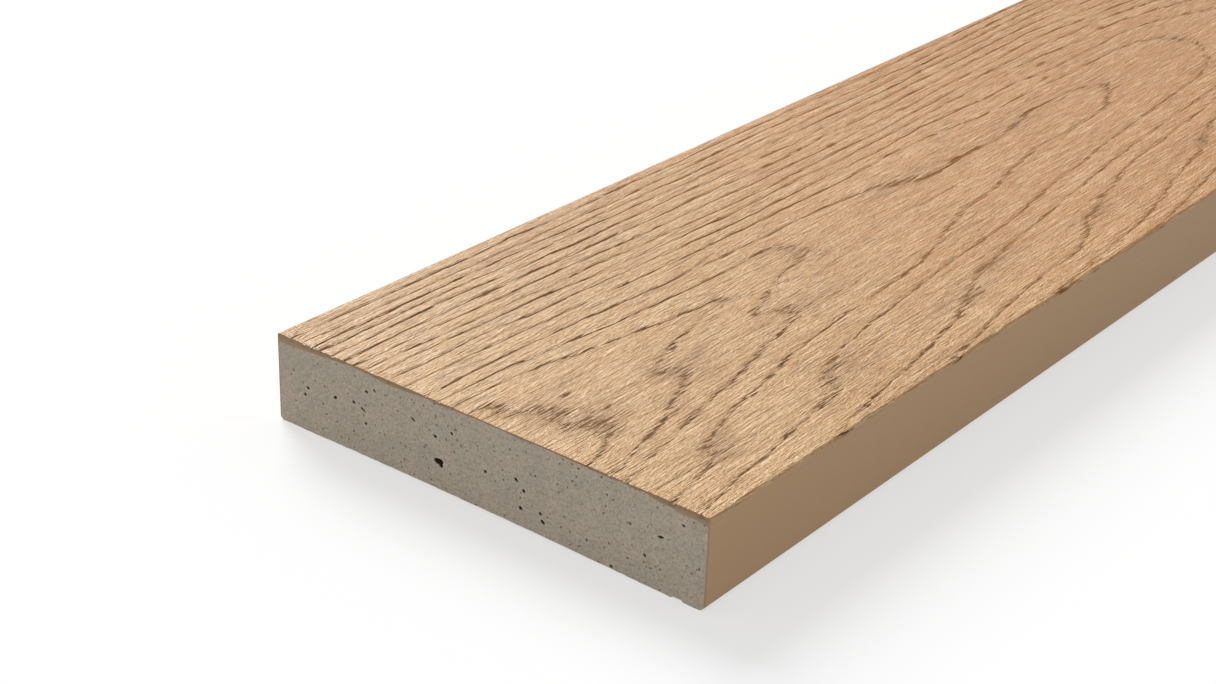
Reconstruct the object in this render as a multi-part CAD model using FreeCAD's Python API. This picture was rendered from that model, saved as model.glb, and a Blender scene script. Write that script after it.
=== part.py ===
import FreeCAD, Part

import math
import os

# Composite decking board in one stock length, in millimetres, +Z up.
# X runs along the board, Y across it. The origin is under the middle of the underside,
# at the level that the board lies on. The cut end that is seen faces -X, and the long
# edge that is seen faces -Y: it is called near here, and the opposite one far.
# A thin moulded wear skin wraps the top and both long edges of a cast, foamed core.
# Grain, pitting and colour are finish, and are not part of these solids.

# Stock size
board_length = 3600.0
board_width = 176.0
board_thickness = 32.0

# Wear skin: it is thinnest over the field, and has a thick haunch along each long edge
skin_over_field = 0.8
skin_on_near_edge = 1.1
skin_on_far_edge = 0.8
near_haunch_depth = 2.7
near_haunch_width = 14.0
near_haunch_taper = 9.0
far_haunch_depth = 3.0
far_haunch_width = 15.0
far_haunch_taper = 22.0
swell_depth = 1.7
swell_reach = 9.0
swell_beyond_taper = 14.0
top_arris_radius = 0.8
inner_corner_radius = 1.4

# Underside of the core: two flat strips carry the board, with a shallow hollow between
bearing_strip_width = 10.0
underside_hollow = 0.8
near_arris_radius = 2.0
far_arris_radius = 0.8

# Larger bubbles that the cut opens: y, z, length, width and lean in degrees.
# y is from the middle of the board, z from the underside, and lean turns from Y to Z.
cut_bubbles = [
    (76.1, 13.3, 1.5, 1.2, 0.0),
    (74.7, 16.2, 1.8, 1.3, 0.0),
    (62.2, 17.0, 2.1, 1.2, -25.0),
    (53.8, 18.3, 1.7, 1.2, 15.0),
    (49.6, 17.1, 3.2, 1.0, 20.0),
    (48.5, 12.4, 1.4, 1.2, 0.0),
    (48.1, 24.2, 1.7, 1.2, 0.0),
    (44.4, 25.8, 1.6, 1.1, 20.0),
    (27.7, 21.6, 2.7, 1.0, 25.0),
    (18.3, 19.0, 1.7, 1.3, 0.0),
    (16.8, 10.6, 4.2, 2.2, -10.0),
    (11.2, 22.6, 1.3, 1.3, 0.0),
    (-2.6, 14.4, 1.6, 1.2, -20.0),
    (-15.2, 16.3, 1.8, 1.4, 30.0),
    (-17.1, 7.1, 1.6, 1.6, 0.0),
    (-18.3, 13.6, 1.3, 1.3, 0.0),
    (-25.0, 8.2, 1.3, 1.3, 0.0),
    (-26.0, 5.6, 1.9, 1.4, 20.0),
    (-65.1, 10.1, 1.2, 1.2, 0.0),
    (-70.7, 18.6, 2.8, 1.0, -12.0),
    (-78.5, 25.7, 1.8, 0.9, 15.0),
]
bubble_centre_behind_cut = 0.2

# Places worked out from those sizes
cut_end_x = -board_length / 2.0
far_edge_y = board_width / 2.0
near_edge_y = -board_width / 2.0
far_core_y = far_edge_y - skin_on_far_edge
near_core_y = near_edge_y + skin_on_near_edge
field_z = board_thickness - skin_over_field
far_haunch_z = board_thickness - far_haunch_depth
near_haunch_z = board_thickness - near_haunch_depth
swell_z = board_thickness - swell_depth
far_haunch_y = far_edge_y - far_haunch_width
far_taper_y = far_haunch_y - far_haunch_taper
near_haunch_y = near_edge_y + near_haunch_width
near_taper_y = near_haunch_y + near_haunch_taper
swell_y = far_taper_y - swell_beyond_taper


def point(y, z):
    """A point of the board's section, in the plane of the cut end."""
    return FreeCAD.Vector(cut_end_x, y, z)


def line(start, end):
    """A straight edge of the section, from one (y, z) pair to another."""
    return Part.LineSegment(point(*start), point(*end)).toShape()


def quarter_round(start, corner, end, radius):
    """A rounded corner: a quarter circle from start to end, bulging towards the corner."""
    toward_centre_y = start[0] + end[0] - 2.0 * corner[0]
    toward_centre_z = start[1] + end[1] - 2.0 * corner[1]
    pull_in = 1.0 - math.sqrt(0.5)
    middle = (corner[0] + toward_centre_y * pull_in, corner[1] + toward_centre_z * pull_in)
    return Part.Arc(point(*start), point(*middle), point(*end)).toShape()


def ease(start, end):
    """A smooth step between two levels, which leaves and arrives level."""
    halfway_y = (start[0] + end[0]) / 2.0
    curve = Part.BezierCurve()
    curve.setPoles([
        point(*start),
        point(halfway_y, start[1]),
        point(halfway_y, end[1]),
        point(*end),
    ])
    return curve.toShape()


def bond_line():
    """Edges where skin and core meet, from the far edge's foot over the top to the near one."""
    far_corner = (far_core_y, far_haunch_z)
    near_corner = (near_core_y, near_haunch_z)
    far_rise_end = (far_core_y, far_haunch_z - inner_corner_radius)
    far_haunch_start = (far_core_y - inner_corner_radius, far_haunch_z)
    far_taper_end = (far_taper_y, field_z)
    near_taper_start = (near_taper_y, field_z)
    near_haunch_end = (near_core_y + inner_corner_radius, near_haunch_z)
    near_rise_end = (near_core_y, near_haunch_z - inner_corner_radius)
    swell_start = (swell_y + swell_reach, field_z)
    swell_end = (swell_y - swell_reach, field_z)
    return [
        line((far_core_y, far_arris_radius), far_rise_end),
        quarter_round(far_rise_end, far_corner, far_haunch_start, inner_corner_radius),
        line(far_haunch_start, (far_haunch_y, far_haunch_z)),
        ease((far_haunch_y, far_haunch_z), far_taper_end),
        line(far_taper_end, swell_start),
        ease(swell_start, (swell_y, swell_z)),
        ease((swell_y, swell_z), swell_end),
        line(swell_end, near_taper_start),
        ease(near_taper_start, (near_haunch_y, near_haunch_z)),
        line((near_haunch_y, near_haunch_z), near_haunch_end),
        quarter_round(near_haunch_end, near_corner, near_rise_end, inner_corner_radius),
        line(near_rise_end, (near_core_y, near_arris_radius)),
    ]


def underside_line():
    """Edges under the core, from the near edge's foot across the hollow to the far one's."""
    near_foot = (near_core_y, near_arris_radius)
    near_strip_start = (near_core_y + near_arris_radius, 0.0)
    near_strip_end = (near_edge_y + bearing_strip_width, 0.0)
    far_strip_start = (far_edge_y - bearing_strip_width, 0.0)
    far_strip_end = (far_core_y - far_arris_radius, 0.0)
    far_foot = (far_core_y, far_arris_radius)
    hollow = Part.Arc(
        point(*near_strip_end),
        point(0.0, underside_hollow),
        point(*far_strip_start),
    ).toShape()
    return [
        quarter_round(near_foot, (near_core_y, 0.0), near_strip_start, near_arris_radius),
        line(near_strip_start, near_strip_end),
        hollow,
        line(far_strip_start, far_strip_end),
        quarter_round(far_strip_end, (far_core_y, 0.0), far_foot, far_arris_radius),
    ]


def outer_line():
    """Edges of the outside of the skin, from the near lip over the top to the far lip."""
    near_rise_end = (near_edge_y, board_thickness - top_arris_radius)
    near_top = (near_edge_y + top_arris_radius, board_thickness)
    far_top = (far_edge_y - top_arris_radius, board_thickness)
    far_rise_end = (far_edge_y, board_thickness - top_arris_radius)
    return [
        line((near_core_y, near_arris_radius), (near_edge_y, near_arris_radius)),
        line((near_edge_y, near_arris_radius), near_rise_end),
        quarter_round(near_rise_end, (near_edge_y, board_thickness), near_top, top_arris_radius),
        line(near_top, far_top),
        quarter_round(far_top, (far_edge_y, board_thickness), far_rise_end, top_arris_radius),
        line(far_rise_end, (far_edge_y, far_arris_radius)),
        line((far_edge_y, far_arris_radius), (far_core_y, far_arris_radius)),
    ]


def board_solid(section_edges):
    """A section run the whole length of the board."""
    section = Part.Face(Part.Wire(section_edges))
    return section.extrude(FreeCAD.Vector(board_length, 0.0, 0.0))


def bubble(y, z, length, width, lean):
    """One bubble, round or drawn out along its lean, opened by the cut a little off its middle."""
    radius = width / 2.0
    into_board = FreeCAD.Vector(1.0, 0.0, 0.0)
    centre = point(y, z) + into_board * bubble_centre_behind_cut
    if length <= width:
        return Part.makeSphere(radius, centre, into_board)
    lean_angle = math.radians(lean)
    drawn_out = FreeCAD.Vector(0.0, math.cos(lean_angle), math.sin(lean_angle))
    straight = length - width
    start = centre - drawn_out * (straight / 2.0)
    end = centre + drawn_out * (straight / 2.0)
    tube = Part.makeCylinder(radius, straight, start, drawn_out)
    tips = [Part.makeSphere(radius, place, drawn_out) for place in (start, end)]
    return tube.fuse(tips)


def make_core():
    """The cast core: its section run along the board, with the bubbles that the cut opens."""
    core = board_solid(bond_line() + underside_line())
    return core.cut([bubble(*sizes) for sizes in cut_bubbles])


def make_wear_skin():
    """The moulded skin over the top and both long edges, seated on the core all over."""
    return board_solid(outer_line() + bond_line())


def write_part(node, shape):
    """Writes one piece as a single solid, and says how large it is."""
    solid = shape.Solids[0]
    if not (solid.isValid() and len(shape.Solids) == 1):
        raise ValueError(node + " is not one sound solid")
    solid.exportStep(os.path.join("parts", node + ".step"))
    box = solid.optimalBoundingBox()
    litres = solid.Volume / 1.0e6
    print(f"{node}: {box.XLength:.1f} x {box.YLength:.1f} x {box.ZLength:.2f} mm, {litres:.3f} l")


os.makedirs("parts", exist_ok=True)
write_part("core", make_core())
write_part("wear_skin", make_wear_skin())
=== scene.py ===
"""Looks of a composite decking board: moulded oak-grain skin over a cast, foamed core.

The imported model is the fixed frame. Board sizes below are in millimetres, because the grain and the
bubbles are millimetre work, and they become metres where a mesh gets its vertices. Along the board,
distances are from the cut end. Across it they are from the middle, with the near long edge at -Y.
"""

import logging
import math
from dataclasses import dataclass, field
from enum import Enum

import bpy
import numpy as np
from mathutils import Matrix, Vector


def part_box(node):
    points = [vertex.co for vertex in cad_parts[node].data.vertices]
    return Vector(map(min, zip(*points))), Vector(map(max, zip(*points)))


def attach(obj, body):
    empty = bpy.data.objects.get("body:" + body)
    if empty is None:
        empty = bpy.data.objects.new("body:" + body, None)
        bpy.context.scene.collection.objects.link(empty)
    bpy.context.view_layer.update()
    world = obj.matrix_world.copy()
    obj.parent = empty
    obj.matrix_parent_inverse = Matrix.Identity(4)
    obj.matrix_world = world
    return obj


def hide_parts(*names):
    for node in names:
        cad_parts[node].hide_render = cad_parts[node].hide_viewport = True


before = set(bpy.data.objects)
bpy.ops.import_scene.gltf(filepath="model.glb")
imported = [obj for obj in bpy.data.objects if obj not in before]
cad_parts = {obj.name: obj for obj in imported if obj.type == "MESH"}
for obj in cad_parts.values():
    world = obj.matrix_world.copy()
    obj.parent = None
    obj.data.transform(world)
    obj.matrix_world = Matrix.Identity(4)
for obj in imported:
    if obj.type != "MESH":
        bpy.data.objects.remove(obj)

LOG = logging.getLogger("decking_board")
MM = 0.001
LATTICE = 512
# Millimetres within which a vertex counts as level with a face, and as being at a cut end.
LEVEL_WITHIN = 0.01
END_WITHIN = 0.05
Colour = tuple[float, float, float]
Piece = bpy.types.Object
Socket = bpy.types.NodeSocket


class BoardEnd(Enum):
    """The two ends of the board, by the sign of X that they face."""

    CUT = -1
    OTHER = 1


class LongEdge(Enum):
    """The two long edges of the board, by the sign of Y that they face."""

    NEAR = -1
    FAR = 1


def board_box() -> tuple[Vector, Vector]:
    """Measure the whole board in the frame.

    Returns:
        Its lowest and its highest corner, in metres.
    """
    corners = [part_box(node) for node in ("core", "wear_skin")]
    low = Vector(min(box[0][axis] for box in corners) for axis in range(3))
    high = Vector(max(box[1][axis] for box in corners) for axis in range(3))
    return low, high


def smoothstep(value: np.ndarray, start: float, end: float) -> np.ndarray:
    """Eased step from 0 at start to 1 at end."""
    share = np.clip((value - start) / (end - start), 0.0, 1.0)
    return share * share * (3.0 - 2.0 * share)


def drift(along: np.ndarray, across: np.ndarray, seed: int) -> np.ndarray:
    """Smooth seeded noise between -1 and 1, with one free value at each whole number of both inputs.

    Args:
        along: First coordinate, in cells.
        across: Second coordinate, in cells.
        seed: Which of the many patterns to give.

    Returns:
        Noise of the inputs' shape.
    """
    lattice = np.random.default_rng(seed).uniform(-1.0, 1.0, (LATTICE, LATTICE))
    cell_a, cell_b = np.floor(along).astype(int), np.floor(across).astype(int)
    ease_a = smoothstep(along - cell_a, 0.0, 1.0)
    ease_b = smoothstep(across - cell_b, 0.0, 1.0)

    def corner(step_a: int, step_b: int) -> np.ndarray:
        """Lattice values at one corner of each cell."""
        return lattice[(cell_a + step_a) % LATTICE, (cell_b + step_b) % LATTICE]

    low = corner(0, 0) * (1.0 - ease_a) + corner(1, 0) * ease_a
    high = corner(0, 1) * (1.0 - ease_a) + corner(1, 1) * ease_a
    return low * (1.0 - ease_b) + high * ease_b


def wave(along: np.ndarray, seed: int) -> np.ndarray:
    """Smooth seeded noise between -1 and 1 of one coordinate, in cells."""
    return drift(along, np.zeros_like(along), seed)


def make_active(piece: Piece) -> None:
    """Select one piece alone and make it the active one.

    Args:
        piece: The object.
    """
    bpy.ops.object.select_all(action="DESELECT")
    piece.select_set(True)
    bpy.context.view_layer.objects.active = piece


def begin_edit(piece: Piece, mode: str = "EDGE") -> None:
    """Open one piece alone in edit mode, with nothing selected.

    Args:
        piece: The mesh object to edit.
        mode: What the next selections are made of: VERT, EDGE or FACE.
    """
    make_active(piece)
    bpy.ops.object.mode_set(mode="EDIT")
    bpy.ops.mesh.select_mode(type=mode)
    bpy.ops.mesh.select_all(action="DESELECT")


def end_edit() -> None:
    """Go back to object mode."""
    bpy.ops.object.mode_set(mode="OBJECT")


def begin_edit_at_rim(piece: Piece) -> None:
    """Open one piece alone in edit mode, with the edges of its open rims selected.

    Args:
        piece: The mesh object to edit.
    """
    begin_edit(piece)
    bpy.ops.mesh.select_non_manifold(
        extend=False, use_wire=True, use_boundary=True, use_multi_face=False, use_non_contiguous=False,
        use_verts=False)


def edge_ends(piece: Piece) -> np.ndarray:
    """Find the vertices that the edges join.

    Args:
        piece: The mesh object, in object mode.

    Returns:
        The numbers of both vertices, one row for each edge.
    """
    ends = np.empty(len(piece.data.edges) * 2, int)
    piece.data.edges.foreach_get("vertices", ends)
    return ends.reshape(-1, 2)


def edges_between(piece: Piece, wanted: np.ndarray) -> np.ndarray:
    """One flag for each edge: whether both its vertices are wanted."""
    return wanted[edge_ends(piece)].all(axis=1)


def begin_edit_with(piece: Piece, chosen: np.ndarray) -> None:
    """Open one piece alone in edit mode, with some of its edges selected.

    Args:
        piece: The mesh object, in object mode.
        chosen: One flag for each edge.
    """
    begin_edit(piece)
    end_edit()
    mesh = piece.data
    joined = np.isin(np.arange(len(mesh.vertices)), edge_ends(piece)[chosen])
    mesh.edges.foreach_set("select", chosen)
    mesh.vertices.foreach_set("select", joined)
    bpy.ops.object.mode_set(mode="EDIT")


def places(piece: Piece) -> np.ndarray:
    """Read where the vertices of a piece are.

    Args:
        piece: The mesh object, in object mode.

    Returns:
        Their places in millimetres, one row each.
    """
    flat = np.empty(len(piece.data.vertices) * 3)
    piece.data.vertices.foreach_get("co", flat)
    return flat.reshape(-1, 3) / MM


def set_places(piece: Piece, where: np.ndarray) -> None:
    """Put the vertices of a piece at these places, in millimetres."""
    piece.data.vertices.foreach_set("co", (where * MM).ravel())
    piece.data.update()


def set_attribute(piece: Piece, name: str, values: np.ndarray) -> None:
    """Store one number for each vertex of a piece, for its material to read."""
    layer = piece.data.attributes.new(name, "FLOAT", "POINT")
    layer.data.foreach_set("value", values.astype(np.float32))


def add_grid(columns: int, rows: int, middle: tuple[float, float, float]) -> Piece:
    """Add a flat grid, one metre square.

    Args:
        columns: Number of cells along X.
        rows: Number of cells along Y.
        middle: Where its middle is, in metres.

    Returns:
        The grid.
    """
    bpy.ops.object.select_all(action="DESELECT")
    bpy.ops.mesh.primitive_grid_add(x_subdivisions=columns, y_subdivisions=rows, size=1.0, location=middle)
    return bpy.context.active_object


def join(pieces: list[Piece], name: str, merge_within: float) -> Piece:
    """Join pieces that share an edge into one mesh.

    Args:
        pieces: The objects to join. The first one stays.
        name: Name of the joined piece.
        merge_within: Vertices closer than this, in millimetres, become one.

    Returns:
        The joined piece.
    """
    joined = pieces[0]
    make_active(joined)
    for piece in pieces:
        piece.select_set(True)
    bpy.ops.object.join()
    joined.name = name
    joined.data.name = name
    begin_edit(joined, "VERT")
    bpy.ops.mesh.select_all(action="SELECT")
    bpy.ops.mesh.remove_doubles(threshold=merge_within * MM)
    bpy.ops.mesh.select_all(action="DESELECT")
    end_edit()
    return joined


def close_and_orient(piece: Piece) -> None:
    """Fill what holes are left in a piece and turn all its faces outwards.

    Args:
        piece: The mesh object, in object mode.
    """
    begin_edit(piece, "VERT")
    bpy.ops.mesh.select_all(action="SELECT")
    bpy.ops.mesh.fill_holes(sides=0)
    bpy.ops.mesh.select_all(action="SELECT")
    bpy.ops.mesh.normals_make_consistent(inside=False)
    bpy.ops.mesh.select_all(action="DESELECT")
    end_edit()


def dress(piece: Piece, material: bpy.types.Material, sharp_from: float) -> None:
    """Shade a piece smoothly and give it its one material.

    Args:
        piece: The finished mesh.
        material: Its finish.
        sharp_from: Angle between two faces from which their edge stays sharp, in degrees.
    """
    make_active(piece)
    bpy.ops.object.shade_smooth_by_angle(angle=math.radians(sharp_from))
    piece.data.materials.clear()
    piece.data.materials.append(material)


# Thickness of the skin as the cut end shows it: place across the board, and millimetres.
SKIN_DEPTHS: list[tuple[float, float]] = [
    (-87, 2.7), (-85, 2.7), (-79, 2.6), (-76, 2.4), (-74, 2.0), (-69, 1.9), (-65, 0.8), (-60, 1.1),
    (-57, 0.65), (-51, 1.0), (-38, 0.75), (-30, 0.62), (-20, 0.8), (-15, 1.0), (-10, 0.6), (0, 0.6),
    (12, 0.9), (17, 1.4), (20, 0.8), (28, 1.2), (33, 1.6), (38, 1.9), (45, 1.3), (50, 1.0), (55, 0.8),
    (60, 1.4), (65, 1.8), (70, 2.2), (75, 2.6), (84, 3.0), (87, 3.0),
]


@dataclass
class BoardSection:
    """Section of the board in millimetres: Y from the middle, Z from the level that it lies on.

    Each wave that makes the bond line uneven has a height, a length and a seed.
    """

    length: float
    half_width: float
    thickness: float
    near_skin: float = 0.6
    far_skin: float = 0.4
    arris: float = 0.8
    inner_corner: float = 1.4
    near_foot: float = 2.0
    far_foot: float = 0.8
    strip: float = 10.0
    hollow: float = 0.8
    bond_blur: float = 1.2
    bond_samples: int = 7
    bond_waves: tuple[tuple[float, float, int], ...] = ((0.10, 3.1, 11), (0.07, 1.1, 12))
    bond_even_to: float = 1.5
    bond_uneven_from: float = 6.0

    @property
    def half_length(self) -> float:
        """Half the board's length, where the two cut faces are."""
        return self.length / 2.0

    @property
    def near_core(self) -> float:
        """Where the core ends at the near edge."""
        return -self.half_width + self.near_skin

    @property
    def far_core(self) -> float:
        """Where the core ends at the far edge."""
        return self.half_width - self.far_skin

    def into_core(self, across: np.ndarray) -> np.ndarray:
        """Distances from the nearer side of the core, inwards."""
        return np.minimum(across - self.near_core, self.far_core - across)

    def skin_depth(self, across: np.ndarray) -> np.ndarray:
        """Thickness of the skin under the walking face.

        Args:
            across: Distances from the middle of the board.

        Returns:
            The thickness at each: the haunches, the swell and a slight unevenness.
        """
        marks, depths = zip(*SKIN_DEPTHS)
        blur = np.linspace(-self.bond_blur, self.bond_blur, self.bond_samples)
        depth = np.mean([np.interp(across + shift, marks, depths) for shift in blur], axis=0)
        uneven = sum(height * wave(across / span, seed) for height, span, seed in self.bond_waves)
        return depth + uneven * smoothstep(self.into_core(across), self.bond_even_to, self.bond_uneven_from)

    def core_top(self, across: np.ndarray) -> np.ndarray:
        """Height of the core under the skin, with its two rounded upper corners.

        Args:
            across: Distances from the middle of the board.

        Returns:
            The height at each.
        """
        level = self.thickness - self.skin_depth(across)
        short = np.clip(self.inner_corner - self.into_core(across), 0.0, self.inner_corner)
        return level - self.inner_corner + np.sqrt(self.inner_corner ** 2 - short ** 2)

    def core_bottom(self, across: np.ndarray) -> np.ndarray:
        """Height of the core's underside, with its hollow and its rounded feet.

        Args:
            across: Distances from the middle of the board.

        Returns:
            The height at each.
        """
        half_hollow = self.half_width - self.strip
        bulge = (half_hollow ** 2 + self.hollow ** 2) / (2.0 * self.hollow)
        inside = np.clip(np.abs(across), 0.0, half_hollow)
        height = np.sqrt(bulge ** 2 - inside ** 2) - (bulge - self.hollow)
        feet = ((across - self.near_core, self.near_foot), (self.far_core - across, self.far_foot))
        for into, foot in feet:
            short = np.clip(foot - into, 0.0, foot)
            height = height + foot - np.sqrt(foot ** 2 - short ** 2)
        return height

    def behind_skin(self, across: np.ndarray, height: np.ndarray) -> tuple[np.ndarray, np.ndarray]:
        """Point of the bond line that lies behind each point of the skin's outside.

        Args:
            across: Y of points on the skin's outside.
            height: Z of the same points.

        Returns:
            Y and Z of the matching points where skin and core meet.
        """
        corner = self.inner_corner
        side = np.where(across < 0.0, -1.0, 1.0)
        core_side = np.where(across < 0.0, self.near_core, self.far_core)
        foot = np.where(across < 0.0, self.near_foot, self.far_foot)
        arris_z = self.thickness - self.arris
        half_face = self.half_width - self.arris
        corner_y = core_side - side * corner
        corner_z = self.core_top(corner_y) - corner
        on_side = height <= arris_z
        on_top = ~on_side & (np.abs(across) <= half_face)
        turn = np.arctan2(height - arris_z, np.abs(across) - half_face)
        low_share = np.clip((height - foot) / (arris_z - foot), 0.0, 1.0)
        top_share = np.clip((across + half_face) / (2.0 * half_face), 0.0, 1.0)
        low_y, high_y = self.near_core + corner, self.far_core - corner
        top_y = low_y + (high_y - low_y) * top_share
        inner_y = np.where(on_side, core_side, corner_y + side * corner * np.cos(turn))
        inner_z = np.where(on_side, foot + low_share * (corner_z - foot), corner_z + corner * np.sin(turn))
        return np.where(on_top, top_y, inner_y), np.where(on_top, self.core_top(top_y), inner_z)


# Traced growth rings of the printed oak near the cut end: distance from the cut end and place
# across the board. Negative numbers are the near-side branches of the ring with that number.
RING_LINES: dict[int, list[tuple[float, float]]] = {
    1: [(0, 5), (8, 1), (9, -6), (16, -11), (16, -17), (15, -23), (20, -29), (21, -33), (18, -37),
        (10, -40.5), (0, -43.5)],
    2: [(0, 10.8), (18, 11), (30, 9.5), (42, 8), (52, 6), (70, 3), (92, -0.5), (108, -2.5), (119, -5),
        (105, -8), (88, -11.5), (75, -14.5), (62, -18), (61, -22), (66, -27), (63, -31), (55, -35),
        (40, -41.5), (25, -45.5), (0, -51)],
    3: [(0, 16.5), (22, 16.2), (40, 15), (55, 13.5), (80, 11.2), (110, 9), (140, 8), (160, 7.8),
        (169, 4), (171, 0), (168, -4), (158, -7), (146, -9), (138, -12.5), (122, -17), (118, -20.5),
        (125, -24), (127, -28), (123, -31), (115, -34), (104, -36), (88, -39), (75, -42), (60, -44.5),
        (40, -49.5), (22, -52.5), (0, -56.5)],
    4: [(0, 22), (30, 22.2), (57, 21.5), (80, 20), (97, 19), (115, 17.5), (150, 16), (180, 15),
        (200, 15), (220, 13.5), (235, 12), (245, 8), (258, 3), (270, 1), (285, 2), (300, 3), (320, 2),
        (335, 3), (345, 6), (360, 8.5), (380, 8.5), (395, 7.5), (404, 4), (408, 0), (402, -5),
        (390, -10), (378, -13.5), (350, -15), (330, -14), (315, -15.5), (300, -17.5), (285, -20.5),
        (270, -23.5), (245, -26), (228, -30), (213, -35), (195, -38), (180, -40), (145, -42),
        (115, -44.5), (100, -46.5), (85, -49.5), (60, -54), (46, -57), (36, -61), (31, -65),
        (25, -69), (15, -71.5), (0, -74.5)],
    5: [(0, 31), (30, 30.8), (50, 30), (75, 28.5), (100, 27.5), (125, 26.5), (160, 25.5),
        (200, 24.5), (240, 24), (280, 25.5), (300, 24.5), (320, 23), (340, 20.5), (380, 20.5),
        (400, 19.5), (440, 19), (460, 19), (477, 17.5), (487, 14), (493, 7), (494, 0), (491, -7),
        (483, -13), (472, -18.5), (455, -24), (430, -26.5), (400, -28.5), (370, -30.5), (340, -33.5),
        (320, -35.7), (300, -37), (280, -39.5), (262, -42), (240, -44.5), (205, -46.5), (175, -49),
        (140, -52.5), (120, -55), (105, -58.5), (97, -62.5), (93, -67.5), (85, -71), (75, -74),
        (60, -76), (28, -79.5), (0, -84)],
    6: [(0, 38), (20, 37.5), (50, 37.8), (70, 35.5), (100, 34), (125, 33), (160, 31.5), (180, 30.7),
        (230, 31), (280, 31), (305, 32.3), (340, 31.5), (365, 30.5), (385, 31), (405, 28.5),
        (430, 28.3), (460, 28), (480, 29.5), (500, 29)],
    -6: [(65, -87.5), (85, -84), (112, -80.5), (140, -76.5), (155, -73.5), (168, -70.5), (180, -66),
         (190, -62), (205, -58), (225, -55), (255, -52), (285, -48.7), (310, -45.8), (340, -43),
         (380, -40), (420, -37.5), (440, -35.7)],
    7: [(0, 43.5), (30, 43.8), (50, 43), (70, 42.5), (100, 40), (150, 38), (180, 36.7), (235, 37.5),
        (260, 36.7), (300, 38), (340, 39), (370, 40.5), (395, 41), (420, 40), (440, 38.7), (460, 38),
        (480, 39.3), (500, 38.5)],
    -7: [(130, -88), (160, -83.5), (180, -80.5), (200, -78), (240, -76), (248, -74.5), (258, -70.5),
         (268, -65.5), (275, -63), (285, -61), (295, -57.8), (310, -55), (330, -51), (345, -49.3),
         (375, -47.5), (410, -44.5), (425, -43)],
    8: [(0, 48), (20, 48), (50, 46.7), (70, 46.8), (90, 45.7), (120, 44.5), (150, 43.7), (180, 42.3),
        (215, 41.5), (265, 42.4), (300, 43), (340, 44.2), (370, 45.5), (400, 46.8), (440, 47.3),
        (458, 45.7), (500, 46)],
    -8: [(200, -88), (225, -86), (245, -84), (275, -81.5), (300, -78), (320, -73.5), (340, -69),
         (360, -66), (372, -63), (383, -58), (395, -55.5), (405, -53)],
    9: [(0, 53), (20, 53), (55, 52.3), (90, 51.5), (130, 50), (180, 48.5), (215, 48), (265, 48.2),
        (320, 49), (370, 51.5), (420, 53), (450, 54), (480, 52.6), (500, 52)],
    -9: [(270, -88), (300, -85.5), (330, -81.5), (350, -78.5)],
    10: [(0, 57.5), (25, 58), (50, 58.4), (100, 57), (145, 56), (200, 55), (240, 54.2), (270, 55.8),
         (315, 56), (370, 57.7), (410, 59.4), (450, 60.5), (480, 59.2), (500, 59)],
    11: [(0, 63), (30, 63.6), (60, 64), (90, 63), (125, 61.7), (155, 62), (205, 61.4), (250, 60.5),
         (300, 62.4), (355, 62.8), (410, 64.5), (470, 66.4), (500, 66)],
    12: [(0, 68), (38, 68.4), (65, 68.8), (100, 67.6), (150, 68), (195, 66.8), (250, 67.2), (330, 67),
         (380, 69), (430, 70.5), (480, 72.5), (500, 73)],
    13: [(0, 72), (60, 72.3), (110, 72.4), (150, 72), (200, 71.5), (280, 71.7), (340, 72.2), (400, 74),
         (460, 76), (500, 78)],
    14: [(0, 76), (30, 76.8), (80, 76.5), (160, 76), (215, 76.7), (255, 77.6), (310, 76.6),
         (370, 77.2), (430, 79.2), (500, 82)],
    15: [(0, 82), (60, 81.7), (130, 82), (240, 83), (340, 83), (420, 84.2), (460, 85.5), (500, 87)],
}

# Reddish-brown feathered patches where rings turn back: distance from the cut end, place across,
# length, width and strength.
FEATHERS: list[tuple[float, float, float, float, float]] = [
    (24, -28, 14, 9, 1.0), (70, -26, 16, 10, 0.9), (138, -27, 26, 7, 0.7), (34, -65, 12, 7, 0.9),
    (106, -64, 20, 7, 0.9), (178, -65, 26, 6, 0.9), (214, -60, 30, 5, 0.8), (278, -65, 18, 5, 0.8),
    (262, 7, 42, 6, 0.8), (350, 7, 22, 6, 0.7), (408, 0, 12, 8, 0.7), (490, 11, 14, 7, 0.7),
    (170, -2, 8, 6, 0.8), (16, -14, 10, 8, 0.8), (118, -5, 10, 5, 0.6), (380, -60, 18, 5, 0.7),
]

# Lone dashes and pin knots between the rings, each from one place to another, with its half width
# and its strength.
LONE_MARKS: list[tuple[float, float, float, float, float, float]] = [
    (0, -66.5, 22, -67.5, 0.5, 0.7), (105, 17, 130, 17.5, 0.5, 0.8), (130, 17.5, 147, 20, 0.5, 0.8),
    (16, -5.5, 45, -4.5, 0.45, 0.7), (238, -11.5, 262, -11, 0.6, 0.8), (340, 13, 380, 15.5, 0.5, 0.7),
    (66, 57.5, 69, 57.7, 0.8, 1.8), (265, 48, 268, 48.2, 0.9, 1.8), (397, 24, 400, 24.3, 0.9, 1.8),
    (413, 34.5, 416, 34.8, 0.9, 1.8), (478, 39, 482, 39.2, 1.0, 1.8), (29, -10, 31, -9.6, 0.7, 1.8),
    (32, -24.5, 33.5, -24.2, 0.6, 1.8), (84, 24.2, 100, 23.6, 0.5, 0.7), (12, 26.5, 30, 26.2, 0.4, 0.6),
    (200, 20, 214, 19.4, 0.45, 0.6), (286, 14, 305, 13.6, 0.5, 0.6), (150, -31, 163, -31.6, 0.5, 0.6),
]


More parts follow.
